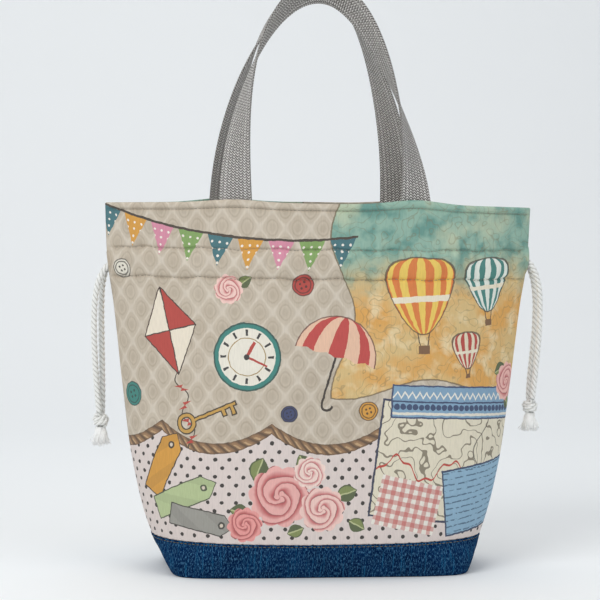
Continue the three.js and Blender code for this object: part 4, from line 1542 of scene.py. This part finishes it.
# How far each strap stands left of the bag's middle at its feet and at its top, its turn at the
# top in degrees, and how early its left and its right leg turn.
STRAPS = (
    ("front", 1, 0.0008, 0.004, 122.8, 1.92, 2.35),
    ("back", -1, 0.0032, 0.005, 113.2, 1.54, 1.44),
)
for which, fore, *shape in STRAPS:
    middles, widths, along_strap = strap_route(*shape)
    faces_out = unit_rows(np.cross(unit_rows(np.gradient(middles, axis=0)), widths))
    count = len(web_ring)
    places, chart = blank_grid(WEB_ROWS, count)
    for j in range(count + 1):
        w, h = web_ring[j % count]
        places[:, j] = (middles + widths * w + faces_out * h) * (1, fore, 1)
        chart[:, j, 0] = w + (UNDER_SIDE if h < 0 else 0)
        chart[:, j, 1] = along_strap
    strap = woven_piece(places, chart, joined=True, capped=True)
    webbing = finished_piece(which + "_handle_webbing", strap, web_finish)
    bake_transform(webbing)
    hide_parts(which + "_handle_arch", which + "_handle_left_end", which + "_handle_right_end")


# Stitching. Lockstitch holds the rim and the casing, in thread darker than the print so that the thin
# line it makes also paints the shade of the stitched groove, and a thicker tan thread runs along the
# denim.
THREAD_THICK = 0.0005
ROW_START = 0.003
ROW_SPARE = 0.004
UP = Vector((0, 0, 1))


def stitch_row(name, height, stitch, gap, lift, finish):
    """One row of stitches right round the bag, lying on the cloth and a little sunk into it."""
    row = bmesh.new()
    row.loops.layers.uv.new("cloth")
    size = Matrix.Diagonal((stitch * 0.56, THREAD_THICK * 0.42, THREAD_THICK * 0.5, 1))
    for back in (False, True):
        line, outward, along = half_layer(height, 0, 1200, back)
        facing = -1 if back else 1
        place = along + (REAR_SHIFT if back else 0)
        level = np.full(len(along), height)
        relief, rise = np.full(len(along), SEAM_SWELL), 0 * along
        if height > DENIM_TOP:
            relief, rise = cloth_relief(place, level), cloth_rise(place, level)
        line = (line + outward * (relief + lift)[:, None]) * facing
        pitch = stitch + gap
        count = int((along[-1] - along[0] - ROW_SPARE) / pitch)
        middles = along[0] + ROW_START + (np.arange(count) + 0.5) * pitch
        spots = at_even_steps(middles, along, np.column_stack([line, height + rise]))
        for spot, away in zip(spots, at_even_steps(middles, along, outward * facing)):
            away = Vector((*away, 0)).normalized()
            turn = Matrix((away.cross(UP), away, UP)).transposed().to_4x4()
            placed = Matrix.Translation(spot) @ turn @ size
            bmesh.ops.create_uvsphere(row, u_segments=6, v_segments=4, radius=1, matrix=placed)
    for face in row.faces:
        face.smooth = True
    bmesh.ops.recalc_face_normals(row, faces=row.faces)
    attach(finished_piece(name, row, finish), "bag")


def thread_finish(name, colour):
    dark = tuple(0.72 * part for part in colour)
    return spun_finish(name, 0.6, 1800, 0.35, 0.65, dark, colour)


# The rim and casing thread is darker than the print: painted shade for the sunk stitch grooves.
groove_shade_thread = thread_finish("groove_shade_thread", (0.36, 0.32, 0.27))
tan_thread = thread_finish("tan_thread", (0.20, 0.15, 0.065))
GROOVE_SHADE_ROWS = (
    ("rim_stitching", HEM_LOW, 0.0001),
    ("casing_upper_stitching", CASING_HIGH, 0.00005),
    ("casing_lower_stitching", CASING_LOW, 0.00005),
)
for name, height, lift in GROOVE_SHADE_ROWS:
    stitch_row(name, height, 0.0024, 0.0006, lift, groove_shade_thread)
stitch_row("denim_topstitching", DENIM_TOP - 0.0016, 0.0026, 0.0008, 0.0001, tan_thread)
